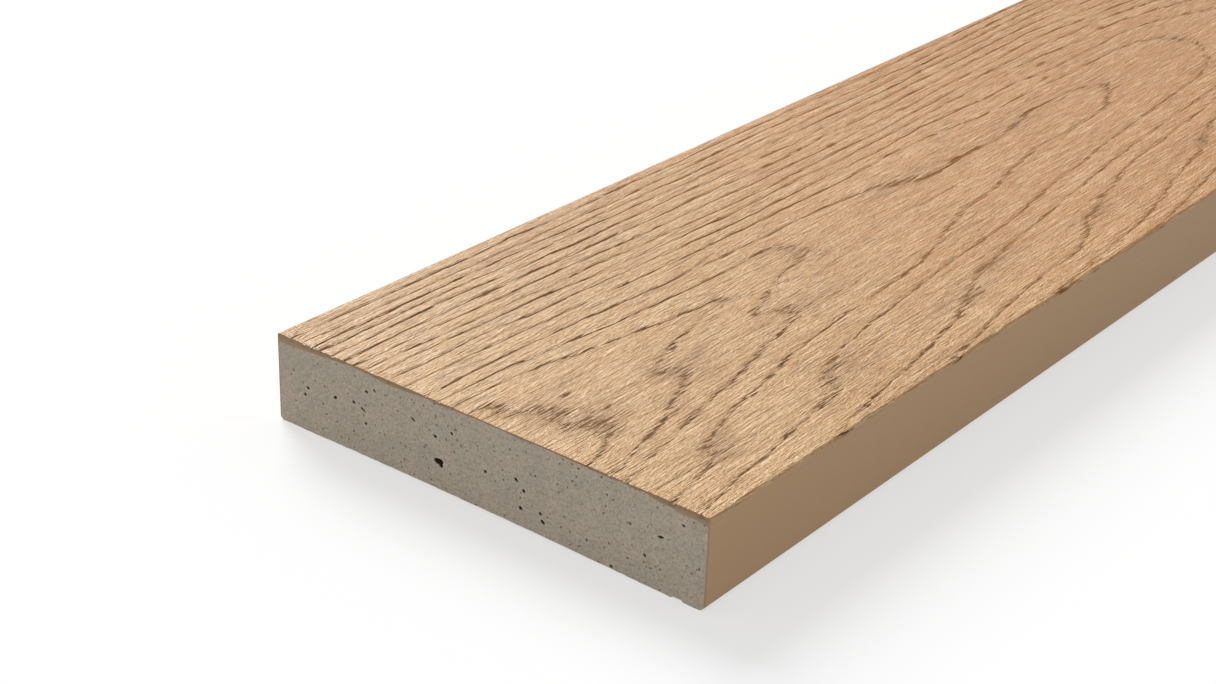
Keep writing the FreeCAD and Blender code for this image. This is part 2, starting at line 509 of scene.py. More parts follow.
@dataclass
class TracedRings:
    """Ring number near the cut end, from the smooth surface through the traced lines.

    The surface is a sum of rounded cones, one at each spot of the lines, and a plane. Places along
    the board are divided by the stretch, because grain runs along it.
    """

    stretch: float = 4.0
    rounding: float = 2.0
    smoothing: float = 0.02
    step: float = 5.0
    plane_size: float = 50.0
    batch: int = 20000
    centres: np.ndarray = field(default_factory=lambda: np.empty((0, 2)))
    weights: np.ndarray = field(default_factory=lambda: np.empty(0))

    def fit(self) -> None:
        """Find the surface whose height is the ring number along every traced line."""
        spots: list[np.ndarray] = []
        numbers: list[float] = []
        for number, line in RING_LINES.items():
            corners = np.array(line, float) / (self.stretch, 1.0)
            spots.append(corners[0])
            for start, end in zip(corners[:-1], corners[1:]):
                parts = max(1, math.ceil(float(np.hypot(*(end - start))) / self.step))
                spots += [start + (end - start) * part / parts for part in range(1, parts + 1)]
            numbers += [abs(number)] * (len(spots) - len(numbers))
        self.centres = np.array(spots)
        count = len(spots)
        plane = self.plane(self.centres)
        system = np.zeros((count + 3, count + 3))
        system[:count, :count] = self.cones(self.centres) - self.smoothing * np.eye(count)
        system[:count, count:] = plane
        system[count:, :count] = plane.T
        self.weights = np.linalg.solve(system, np.array(numbers + [0.0, 0.0, 0.0]))

    def cones(self, spots: np.ndarray) -> np.ndarray:
        """Height of every rounded cone at every spot."""
        apart = spots[:, None, :] - self.centres[None, :, :]
        return np.sqrt((apart ** 2).sum(axis=-1) + self.rounding ** 2)

    def plane(self, spots: np.ndarray) -> np.ndarray:
        """The plane's three parts at every spot: level, slope along and slope across."""
        return np.column_stack([np.ones(len(spots)), spots / self.plane_size])

    def numbers(self, along: np.ndarray, across: np.ndarray) -> np.ndarray:
        """Ring numbers, worked out a batch of spots at a time.

        Args:
            along: Distances from the cut end.
            across: Places across the board, of the same shape.

        Returns:
            One ring number for each spot.
        """
        spots = np.column_stack([along.ravel() / self.stretch, across.ravel()])
        batches = [spots[start:start + self.batch] for start in range(0, len(spots), self.batch)]
        heights = [np.hstack([self.cones(part), self.plane(part)]) @ self.weights for part in batches]
        return np.concatenate(heights).reshape(along.shape)


@dataclass(frozen=True)
class PlankFigure:
    """Ring number of a flat-sawn plank, for the length of the board that the photo doesn't show.

    Each swing has a height, the place where it starts and its length for one radian. Each drift has
    a height, a length along the board and a seed, with the row of the noise that it reads or its
    length across the board before the seed.
    """

    swings: tuple[tuple[float, float, float], ...] = ((3.2, 500.0, 410.0), (1.5, 500.0, 173.0))
    heart_ring: float = 4.6
    heart_rounding: float = 0.7
    heart_place: float = 2.0
    heart_swing: tuple[float, float, float] = (9.0, 520.0, 530.0)
    heart_drift: tuple[float, float, int] = (3.0, 260.0, 21)
    near_spacing: float = 9.0
    far_spacing: float = 6.2
    spacing_change: float = 25.0
    spacing_drift: tuple[float, float, float, int] = (0.8, 420.0, 3.5, 22)
    wander: tuple[tuple[float, float, float, int], ...] = ((0.35, 150.0, 34.0, 23), (0.14, 55.0, 11.0, 24))

    def numbers(self, along: np.ndarray, across: np.ndarray) -> np.ndarray:
        """Ring numbers that carry on from the traced ones.

        Args:
            along: Distances from the cut end.
            across: Places across the board, of the same shape.

        Returns:
            One ring number for each spot.
        """
        swing = sum(height * np.sin((along - start) / span) for height, start, span in self.swings)
        middle_rings = self.heart_ring + np.hypot(swing, self.heart_rounding)
        height, start, span = self.heart_swing
        centre = self.heart_place + height * np.sin((along - start) / span)
        height, span, seed = self.heart_drift
        offset = across - centre - height * wave(along / span, seed)
        lean = smoothstep(offset, -self.spacing_change, self.spacing_change)
        height, span, row, seed = self.spacing_drift
        spacing = self.near_spacing + (self.far_spacing - self.near_spacing) * lean
        spacing = spacing + height * drift(along / span, np.full_like(across, row), seed)
        result = np.hypot(offset / spacing, middle_rings)
        for height, long, wide, seed in self.wander:
            result = result + height * drift(along / long, across / wide, seed)
        return result


@dataclass
class GrowthRings:
    """Ring number over the walking face: whole numbers are the dark lines of the printed oak.

    Beside the near long edge the traced lines end early, at a slant, so the plank's figure takes
    over there from a mark on a slanted scale.
    """

    traced: TracedRings = field(default_factory=TracedRings)
    plank: PlankFigure = PlankFigure()
    traced_to: float = 455.0
    plank_from: float = 640.0
    edge_slope: float = 0.5
    edge_traced_to: float = 262.0
    edge_plank_from: float = 330.0

    def numbers(self, along: np.ndarray, across: np.ndarray) -> np.ndarray:
        """Ring numbers all over, traced near the cut end and invented beyond.

        Args:
            along: Distances from the cut end, as a grid whose first axis follows the board.
            across: Places across the board, of the same shape.

        Returns:
            One ring number for each spot.
        """
        result = self.plank.numbers(along, across)
        near = along[:, 0] < self.plank_from
        share = smoothstep(along[near], self.traced_to, self.plank_from)
        slanted = along[near] * self.edge_slope - across[near]
        share = np.maximum(share, smoothstep(slanted, self.edge_traced_to, self.edge_plank_from))
        result[near] = (1.0 - share) * self.traced.numbers(along[near], across[near]) + share * result[near]
        return result


@dataclass
class GrainMap:
    """Grain values on one grid over the walking face, for the skin's mesh and its material.

    The rise along the board counts more in the pitch than the slope across it, so that a line gets
    broader where it turns back. A drift has its lengths along and across the board and a seed.
    """

    rings: GrowthRings
    stations: np.ndarray
    rows: np.ndarray
    rise_weight: float = 3.0
    least_pitch: float = 0.03
    groove_middle: float = 0.1
    groove_width: float = 0.6
    groove_share: float = 0.8
    groove_drift: tuple[float, float, int] = (15.0, 2.1, 31)
    groove_marks: tuple[float, float] = (-1.1, 0.3)
    fibre_drift: tuple[float, float, int] = (26.0, 1.1, 32)
    tip_drift: tuple[float, float, int] = (60.0, 9.0, 33)
    tip_marks: tuple[float, float] = (-0.2, 0.5)
    tip_slopes: tuple[float, float] = (0.03, 0.075)
    tips_between: tuple[float, float] = (500.0, 560.0)
    tip_strength: float = 0.8
    mark_end: float = 1.5
    layers: dict[str, np.ndarray] = field(default_factory=dict)

    def fill(self) -> None:
        """Work out the ring number, its rise along the board, the feathering and the relief."""
        along, across = np.meshgrid(self.stations, self.rows, indexing="ij")
        ring = self.rings.numbers(along, across)
        rise = np.gradient(ring, self.stations, axis=0)
        slope = np.gradient(ring, self.rows, axis=1)
        pitch = np.maximum(np.hypot(slope, self.rise_weight * rise), self.least_pitch)
        past = (ring - np.round(ring)) / pitch - self.groove_middle
        groove = np.exp(-(past / self.groove_width) ** 2)
        broken = smoothstep(self.drifting(along, across, self.groove_drift), *self.groove_marks)
        fibre = 0.5 + 0.5 * self.drifting(along, across, self.fibre_drift)
        relief = self.groove_share * groove * broken + (1.0 - self.groove_share) * fibre
        self.layers = {
            "ring": ring,
            "ring_rise": rise,
            "ring_pitch": pitch,
            "feather": self.feathering(along, across, slope),
            "mark": self.marks(along, across),
            "relief": np.clip(relief, 0.0, 1.0),
        }

    def drifting(self, along: np.ndarray, across: np.ndarray, kind: tuple[float, float, int]) -> np.ndarray:
        """Seeded noise whose blobs have these lengths along and across the board."""
        return drift(along / kind[0], across / kind[1], kind[2])

    def feathering(self, along: np.ndarray, across: np.ndarray, slope: np.ndarray) -> np.ndarray:
        """Strength of the reddish-brown feathering: by hand where it is seen, and at the tips beyond.

        Args:
            along: Distances from the cut end.
            across: Places across the board.
            slope: How fast the ring number rises across the board.

        Returns:
            Strengths from 0 to 1.
        """
        strength = np.zeros_like(along)
        for at, off, length, width, amount in FEATHERS:
            reach = ((along - at) / length) ** 2 + ((across - off) / width) ** 2
            strength = np.maximum(strength, amount * np.exp(-reach))
        beyond = smoothstep(along, *self.tips_between)
        tips = 1.0 - smoothstep(np.abs(slope), *self.tip_slopes)
        patchy = smoothstep(self.drifting(along, across, self.tip_drift), *self.tip_marks)
        return np.maximum(strength, self.tip_strength * beyond * tips * patchy)

    def marks(self, along: np.ndarray, across: np.ndarray) -> np.ndarray:
        """Strength of the lone marks.

        Args:
            along: Distances from the cut end.
            across: Places across the board.

        Returns:
            The listed strength in the middle of a mark, down to 0 beside it.
        """
        strength = np.zeros_like(along)
        for start_x, start_y, end_x, end_y, width, amount in LONE_MARKS:
            share = np.clip((along - start_x) / (end_x - start_x), 0.0, 1.0)
            off = across - start_y - share * (end_y - start_y)
            past = along - start_x - share * (end_x - start_x)
            fading = np.exp(-(off / width) ** 2 - (past / self.mark_end) ** 2)
            strength = np.maximum(strength, amount * fading)
        return strength

    def at(self, layer: str, along: np.ndarray, across: np.ndarray) -> np.ndarray:
        """Value of one layer at the grid spot nearest to each place."""
        return self.layers[layer][nearest(self.stations, along), nearest(self.rows, across)]


def nearest(marks: np.ndarray, values: np.ndarray) -> np.ndarray:
    """Index of the mark nearest to each value, for rising marks."""
    after = np.clip(np.searchsorted(marks, values), 1, len(marks) - 1)
    return after - (values - marks[after - 1] < marks[after] - values)


@dataclass(frozen=True)
class Mottle:
    """Noise pattern of a finish.

    Its blobs have a size along X, Y and Z in millimetres, an offset sets it apart from another
    pattern of the same size, and detail is how many finer layers it has. Read eased, it rises from
    low to high between the marks start and end. Turned is in degrees about X.
    """

    size: tuple[float, float, float]
    offset: float = 0.0
    detail: float = 2.0
    start: float = 0.0
    end: float = 1.0
    low: float = 0.0
    high: float = 1.0
    turned: float = 0.0


@dataclass(frozen=True)
class Specks:
    """Scattered round specks of a finish.

    One cell in so many holds a speck: it needs a luck above rarity, and the others have the radius
    none, which is below 0. Spacing is in millimetres, and the radii and the two marks of the soft rim
    are in spacings.
    """

    spacing: float
    offset: float
    rarity: float
    radius: float
    rim_in: float
    rim_out: float
    none: float = -0.10


class NodeSheet:
    """One material's shader nodes, added in the order in which they are read."""

    def __init__(self, name: str) -> None:
        """Start an empty material.

        Args:
            name: Name of the material.
        """
        self.material = bpy.data.materials.new(name)
        self.material.use_nodes = True
        self.tree = self.material.node_tree
        self.tree.nodes.clear()
        self.shader = self.tree.nodes.new("ShaderNodeBsdfPrincipled")
        output = self.tree.nodes.new("ShaderNodeOutputMaterial")
        self.tree.links.new(self.shader.outputs["BSDF"], output.inputs["Surface"])
        self.place = self.tree.nodes.new("ShaderNodeTexCoord").outputs["Object"]

    def put(self, socket: Socket, value: object) -> None:
        """Link a socket to another socket, or set it to a constant.

        Args:
            socket: The input to feed.
            value: A socket, a number or a row of numbers.
        """
        if isinstance(value, Socket):
            self.tree.links.new(value, socket)
        else:
            socket.default_value = value

    def math(self, operation: str, *values: object, clamp: bool = False) -> Socket:
        """Add one Math node.

        Args:
            operation: Blender's name of the operation.
            *values: Its inputs, each a number or a socket.
            clamp: Whether the result stays between 0 and 1.

        Returns:
            The node's result.
        """
        node = self.tree.nodes.new("ShaderNodeMath")
        node.operation = operation
        node.use_clamp = clamp
        for index, value in enumerate(values):
            self.put(node.inputs[index], value)
        return node.outputs[0]

    def times(self, first: object, second: object) -> Socket:
        """Product of two values."""
        return self.math("MULTIPLY", first, second)

    def grown(self, value: object, factor: object, added: object) -> Socket:
        """A value times a factor, plus what is added."""
        return self.math("MULTIPLY_ADD", value, factor, added)

    def step(self, value: object, start: object, end: object, low: float = 0.0,
             high: float = 1.0) -> Socket:
        """Ease a value from low to high between two marks.

        Args:
            value: The value to read.
            start: Mark at which the result leaves low.
            end: Mark at which the result reaches high.
            low: Result before start.
            high: Result after end.

        Returns:
            The eased value.
        """
        node = self.tree.nodes.new("ShaderNodeMapRange")
        node.interpolation_type = "SMOOTHSTEP"
        for index, part in enumerate((value, start, end, low, high)):
            self.put(node.inputs[index], part)
        return node.outputs[0]

    def attribute(self, name: str) -> Socket:
        """Number stored on the mesh.

        Args:
            name: Name that it is stored under.

        Returns:
            The number.
        """
        node = self.tree.nodes.new("ShaderNodeAttribute")
        node.attribute_name = name
        return node.outputs["Fac"]

    def axes(self) -> tuple[Socket, Socket, Socket]:
        """Place of the shaded point.

        Returns:
            Object X, Y and Z in metres.
        """
        node = self.tree.nodes.new("ShaderNodeSeparateXYZ")
        self.put(node.inputs[0], self.place)
        return node.outputs[0], node.outputs[1], node.outputs[2]

    def scaled_place(self, size: tuple[float, float, float], offset: float, turned: float = 0.0) -> Socket:
        """Place of the shaded point, in blobs of one size.

        Args:
            size: Size of a blob along X, Y and Z, in millimetres.
            offset: Shift along all three axes, in blobs.
            turned: How far the pattern is turned about X, in degrees.

        Returns:
            The scaled place.
        """
        place = self.place
        if turned:
            turn = self.tree.nodes.new("ShaderNodeVectorRotate")
            turn.rotation_type = "X_AXIS"
            turn.inputs["Angle"].default_value = math.radians(turned)
            self.put(turn.inputs["Vector"], place)
            place = turn.outputs[0]
        mapping = self.tree.nodes.new("ShaderNodeMapping")
        self.put(mapping.inputs["Vector"], place)
        mapping.inputs["Scale"].default_value = [1.0 / (part * MM) for part in size]
        mapping.inputs["Location"].default_value = (offset, offset, offset)
        return mapping.outputs[0]

    def noise(self, mottle: Mottle) -> Socket:
        """Noise between about 0 and 1.

        Args:
            mottle: The pattern.

        Returns:
            The noise, not eased.
        """
        node = self.tree.nodes.new("ShaderNodeTexNoise")
        self.put(node.inputs["Vector"], self.scaled_place(mottle.size, mottle.offset, mottle.turned))
        node.inputs["Scale"].default_value = 1.0
        node.inputs["Detail"].default_value = mottle.detail
        return node.outputs["Fac"]

    def swing(self, mottle: Mottle, reach: float) -> Socket:
        """Noise of a pattern, centred on 0 and reaching about as far each way."""
        return self.grown(self.noise(mottle), 2.0 * reach, -reach)

    def eased(self, mottle: Mottle) -> Socket:
        """Noise of a pattern, eased from its low to its high value."""
        return self.step(self.noise(mottle), mottle.start, mottle.end, mottle.low, mottle.high)

    def specks(self, kind: Specks, grown_by: object = 0.0) -> Socket:
        """Scattered round specks.

        Args:
            kind: Their size and number.
            grown_by: What their radius gains, in spacings.

        Returns:
            1 inside the specks and 0 beside them.
        """
        node = self.tree.nodes.new("ShaderNodeTexVoronoi")
        self.put(node.inputs["Vector"], self.scaled_place((kind.spacing,) * 3, kind.offset))
        node.inputs["Scale"].default_value = 1.0
        apart = self.tree.nodes.new("ShaderNodeSeparateColor")
        self.put(apart.inputs[0], node.outputs["Color"])
        radius = self.step(apart.outputs[0], kind.rarity, 1.0, kind.none, kind.radius)
        radius = self.math("ADD", radius, grown_by)
        return self.step(self.math("SUBTRACT", radius, node.outputs["Distance"]), kind.rim_in, kind.rim_out)

    def mix(self, share: object, first: object, second: object, blend: str = "MIX") -> Socket:
        """Mix two colours.

        Args:
            share: How much of the second one.
            first: A colour or a socket.
            second: A colour or a socket.
            blend: Blender's name of the way to mix.

        Returns:
            The mixed colour.
        """
        node = self.tree.nodes.new("ShaderNodeMix")
        node.data_type = "RGBA"
        node.blend_type = blend
        self.put(node.inputs[0], share)
        for index, colour in ((6, first), (7, second)):
            self.put(node.inputs[index], (*colour, 1.0) if isinstance(colour, tuple) else colour)
        return node.outputs[2]

    def finish(self, colour: Socket, roughness: object, height: Socket, depth: float,
               specular: float) -> bpy.types.Material:
        """Feed the shader.

        Args:
            colour: Base colour.
            roughness: A number or a socket.
            height: Height of the fine relief, from 0 to 1.
            depth: How far a height of 1 stands proud, in millimetres.
            specular: Strength of the plain reflection.

        Returns:
            The finished material.
        """
        bump = self.tree.nodes.new("ShaderNodeBump")
        self.put(bump.inputs["Height"], height)
        bump.inputs["Distance"].default_value = depth * MM
        self.put(self.shader.inputs["Normal"], bump.outputs[0])
        self.put(self.shader.inputs["Base Color"], colour)
        self.put(self.shader.inputs["Roughness"], roughness)
        self.shader.inputs["Specular IOR Level"].default_value = specular
        return self.material


@dataclass(frozen=True)
class RingPrint:
    """Dark ring lines of the print, as chains of short dashes along the board.

    Lengths are in millimetres. A line's sharp side is the one before it, towards lower ring numbers
    and the heart of the figure, and its soft side runs out behind it, further where the line crosses
    the board at a slant or frays at a feathered patch.
    """

    stagger: float = 10.5
    frayed_stagger: float = 15.75
    wobble: float = 1.3
    jitter: float = 0.55
    sharp_from: float = -0.42
    sharp_to: float = -0.08
    soft_peak: float = 1.15
    thin: float = 0.30
    thicker: float = 0.55
    slanted_reach: float = 9.5
    frayed_reach: float = 3.0
    faint_loss: float = 0.75
    slant_loss: float = 0.28
    steepest: float = 0.25
    most: float = 1.1
    most_lost_slanted: float = 1.7
    most_lost_frayed: float = 0.02
    cut_at: float = 0.82
    cut_gain: float = 0.57
    cut_edge: float = 0.08
    fibre_swing: Mottle = Mottle((12.0, 0.8, 0.8))
    slow_swing: Mottle = Mottle((24.0, 4.5, 4.5), 2.9)
    quick_swing: Mottle = Mottle((9.0, 1.1, 1.1), 4.2, 1.0)
    spread: Mottle = Mottle((18.0, 1.1, 1.1), 3.7, 1.0, 0.35, 0.7)
    vigour: Mottle = Mottle((24.0, 3.0, 3.0), 9.1, 2.0, 0.31, 0.58, 0.36, 1.20)
    dashes: Mottle = Mottle((7.5, 0.58, 0.58), 9.1)
    frayed_dashes: Mottle = Mottle((11.0, 0.62, 0.62), 1.1, 1.0)

    def gap(self, sheet: NodeSheet) -> Socket:
        """Distance past the nearest ring line, with the line swaying fibre by fibre.

        Args:
            sheet: The sheet to add the nodes to.

        Returns:
            The distance across the board in millimetres, negative before the line.
        """
        reach = sheet.step(sheet.attribute("feather"), 0.0, 1.0, self.stagger, self.frayed_stagger)
        sway = sheet.times(sheet.swing(self.fibre_swing, 1.0), reach)
        ring = sheet.grown(sway, sheet.attribute("ring_rise"), sheet.attribute("ring"))
        wander = sheet.math(
            "ADD", sheet.swing(self.slow_swing, self.wobble), sheet.swing(self.quick_swing, self.jitter))
        ring = sheet.grown(wander, sheet.attribute("ring_pitch"), ring)
        phase = sheet.math("SUBTRACT", ring, sheet.math("ROUND", ring))
        return sheet.math("DIVIDE", phase, sheet.attribute("ring_pitch"))

    def strength(self, sheet: NodeSheet, gap: Socket, bold: Socket) -> Socket:
        """Dark lines at the gaps near 0.

        Args:
            sheet: The sheet to add the nodes to.
            gap: Distance past the nearest ring line.
            bold: Boldness of the print, 1 near the cut end and less beyond.

        Returns:
            Strength of the dark line, from 0 to 1.
        """
        frayed = sheet.attribute("feather")
        slope = sheet.math("DIVIDE", sheet.attribute("ring_rise"), sheet.attribute("ring_pitch"))
        slant = sheet.math("ABSOLUTE", slope)
        tilted = sheet.math("MINIMUM", slant, self.steepest)
        spread = sheet.eased(self.spread)
        reach = sheet.grown(spread, self.thicker, self.thin)
        reach = sheet.grown(sheet.times(slant, spread), self.slanted_reach, reach)
        reach = sheet.grown(frayed, self.frayed_reach, reach)
        before = sheet.step(gap, self.sharp_from, self.sharp_to)
        after = sheet.math("SUBTRACT", self.soft_peak, sheet.math("DIVIDE", gap, reach), clamp=True)
        vigour = sheet.grown(sheet.math("SUBTRACT", bold, 1.0), self.faint_loss, sheet.eased(self.vigour))
        vigour = sheet.grown(tilted, -self.slant_loss, vigour)
        most = sheet.grown(frayed, -self.most_lost_frayed, self.most)
        most = sheet.grown(tilted, -self.most_lost_slanted, most)
        band = sheet.times(sheet.times(before, after), sheet.math("MINIMUM", vigour, most))
        start = sheet.grown(band, -self.cut_gain, self.cut_at)
        fine, coarse = sheet.noise(self.dashes), sheet.noise(self.frayed_dashes)
        chosen = sheet.grown(frayed, sheet.math("SUBTRACT", coarse, fine), fine)
        return sheet.step(chosen, start, sheet.math("ADD", start, self.cut_edge))


@dataclass(frozen=True)
class OakPrintFinish:
    """Moulded polyurethane skin with the colour and figure of limed oak.

    Colours are linear. Places along the board are in millimetres from its cut end, and heights in
    millimetres from the floor. Shares say how much of a colour shows, and reliefs are in parts of
    the relief's depth. Some colour is painted light: the ground left paler near the cut end is painted
    sheen, the pale streaks are partly painted glints, and a band beside each ring line is painted groove
    shade.
    """

    tan: Colour = (0.705, 0.412, 0.168)
    pale: Colour = (0.768, 0.476, 0.214)
    warm: Colour = (0.640, 0.350, 0.140)
    # Painted sheen: tint that the ground is multiplied by further from the cut end, so that it stays paler
    # near the cut end
    sheen_loss_tint: Colour = (0.926, 0.756, 0.668)
    # Pale fibre streaks, made lighter so that they are partly painted glints
    streak_and_glint: Colour = (0.900, 0.636, 0.360)
    line: Colour = (0.150, 0.056, 0.002)
    far_line: Colour = (0.330, 0.128, 0.008)
    reddish: Colour = (0.330, 0.138, 0.030)
    # Brown of the flecks, also used for the painted shade in the groove beside each ring line
    fleck_and_groove_shade: Colour = (0.340, 0.160, 0.050)
    feather: Colour = (0.400, 0.180, 0.075)
    edge: Colour = (0.567, 0.352, 0.178)
    cut: Colour = (0.450, 0.285, 0.158)
    print_from_height: float = 30.2
    print_at_height: float = 31.0
    bold_to: float = 70.0
    faint_from: float = 270.0
    faintness: float = 0.78
    # Painted sheen fades out between these two places along the board
    sheen_loss_from: float = -60.0
    sheen_lost_at: float = 400.0
    cut_inset: float = 0.01
    cut_fade: float = 0.04
    calm_edge: float = 0.05
    valley_middle: float = -0.05
    valley_width: float = 1.05
    valley_floor: float = 0.10
    # Painted groove shade beside each ring line: its share near the cut end and far along the board
    groove_shade_share: float = 0.34
    faint_groove_shade_share: float = 0.46
    feather_share: float = 0.68
    reddish_share: float = 0.90
    fibre_relief: float = 0.40
    grit_relief: float = 0.35
    line_relief: float = -0.40
    valley_relief: float = -0.32
    feather_relief: float = -0.30
    relief_depth: float = 0.9
    roughness: float = 0.37
    line_roughness: float = 0.80
    specular: float = 0.48
    rings: RingPrint = RingPrint()
    drifting: Mottle = Mottle((90.0, 16.0, 16.0), 1.3, 3.0, 0.3, 0.7)
    warmth: Mottle = Mottle((50.0, 10.0, 10.0), 8.3, 2.0, 0.45, 0.8, 0.0, 0.5)
    # Pale fibre streaks, partly painted glints
    streaks_and_glints: Mottle = Mottle((12.0, 0.8, 0.8), 6.6, 2.0, 0.49, 0.64, 0.0, 0.64)
    speckle: Mottle = Mottle((1.5, 0.55, 0.55), 2.2, 2.0, 0.48, 0.66, 0.0, 0.50)
    threads: Mottle = Mottle((24.0, 1.4, 1.4), 3.9, 2.0, 0.55, 0.67, 0.0, 0.22)
    flecks: Mottle = Mottle((9.0, 0.6, 0.6), 5.3, 2.0, 0.55, 0.61, 0.0, 0.66)
    mark_patches: Mottle = Mottle((5.0, 1.2, 1.2), 5.9, 1.0, 0.3, 0.5)
    valley_breaks: Mottle = Mottle((26.0, 2.4, 2.4), 3.3, 2.0, 0.32, 0.58, 0.2, 1.0)
    tufts: Mottle = Mottle((11.0, 0.66, 0.66), 7.7, 2.0, 0.46, 0.56)
    fibres: Mottle = Mottle((12.0, 0.8, 0.8), 4.4)
    grit: Mottle = Mottle((2.0, 0.55, 0.55), 6.1)

    def material(self, half_length: float) -> bpy.types.Material:
        """Build the finish.

        Args:
            half_length: Half the board's length in millimetres, where the two cut faces are.

        Returns:
            The material.
        """
        sheet = NodeSheet("oak_print_skin")
        x_axis, _, z_axis = sheet.axes()
        on_top = sheet.step(z_axis, self.print_from_height * MM, self.print_at_height * MM)
        bold = sheet.step(
            x_axis, (self.bold_to - half_length) * MM, (self.faint_from - half_length) * MM, 1.0,
            self.faintness)
        printed = sheet.times(on_top, bold)
        calm = sheet.step(printed, 0.0, 1.0, self.calm_edge, 1.0)
        gap = self.rings.gap(sheet)
        lone = sheet.math("MULTIPLY", sheet.attribute("mark"), sheet.eased(self.mark_patches), clamp=True)
        lines = sheet.times(sheet.math("MAXIMUM", self.rings.strength(sheet, gap, bold), lone), on_top)
        off_middle = sheet.math("ABSOLUTE", sheet.math("SUBTRACT", gap, self.valley_middle))
        valley = sheet.step(off_middle, self.valley_width, self.valley_floor)
        valley = sheet.times(sheet.times(valley, sheet.eased(self.valley_breaks)), printed)
        feather = sheet.times(sheet.times(sheet.attribute("feather"), printed), sheet.eased(self.tufts))
        ground = self.ground(sheet, x_axis, on_top, calm, half_length)
        # Painted shade: a band of the fleck colour in the groove beside each ring line
        shade = sheet.step(bold, self.faintness, 1.0, self.faint_groove_shade_share, self.groove_shade_share)
        groove_shaded = sheet.mix(sheet.times(valley, shade), ground, self.fleck_and_groove_shade)
        feathered = sheet.mix(sheet.times(feather, self.feather_share), groove_shaded, self.feather)
        ink = sheet.mix(sheet.step(bold, self.faintness, 1.0), self.far_line, self.line)
        ink = sheet.mix(sheet.times(sheet.attribute("feather"), self.reddish_share), ink, self.reddish)
        lined = sheet.mix(lines, feathered, ink)
        at_cut = sheet.step(sheet.math("ABSOLUTE", x_axis), (half_length - self.cut_fade) * MM,
                            (half_length - self.cut_inset) * MM)
        colour = sheet.mix(at_cut, lined, self.cut)
        rough = sheet.math(
            "ADD", sheet.swing(self.fibres, self.fibre_relief), sheet.swing(self.grit, self.grit_relief))
        height = sheet.grown(lines, self.line_relief, sheet.times(rough, calm))
        height = sheet.grown(valley, self.valley_relief, height)
        height = sheet.grown(feather, self.feather_relief, height)
        roughness = sheet.step(lines, 0.0, 1.0, self.roughness, self.line_roughness)
        return sheet.finish(colour, roughness, height, self.relief_depth, self.specular)

    def ground(self, sheet: NodeSheet, x_axis: Socket, on_top: Socket, calm: Socket,
               half_length: float) -> Socket:
        """Colour between the ring lines: slow drift, pale streaks and short brown flecks.

        Args:
            sheet: The sheet to add the nodes to.
            x_axis: Place along the board in metres.
            on_top: 1 on the walking face and 0 on the long edges.
            calm: Strength of the fine pattern, least on the long edges.
            half_length: Half the board's length in millimetres.

        Returns:
            The colour.
        """
        drifted = sheet.mix(sheet.eased(self.drifting), self.tan, self.pale)
        warmed = sheet.mix(sheet.eased(self.warmth), drifted, self.warm)
        # Painted sheen: the ground stays paler near the cut end and turns more orange further along
        away = sheet.step(
            x_axis, (self.sheen_loss_from - half_length) * MM, (self.sheen_lost_at - half_length) * MM)
        sheen_faded = sheet.mix(away, warmed, sheet.mix(1.0, warmed, self.sheen_loss_tint, "MULTIPLY"))
        colour = sheet.mix(on_top, self.edge, sheen_faded)
        # The pale streaks are partly painted glints
        patterns = (
            (self.streaks_and_glints, self.streak_and_glint), (self.speckle, self.fleck_and_groove_shade), (self.threads, self.fleck_and_groove_shade),
            (self.flecks, self.fleck_and_groove_shade))
        for mottle, tint in patterns:
            colour = sheet.mix(sheet.times(sheet.eased(mottle), calm), colour, tint)
        return colour


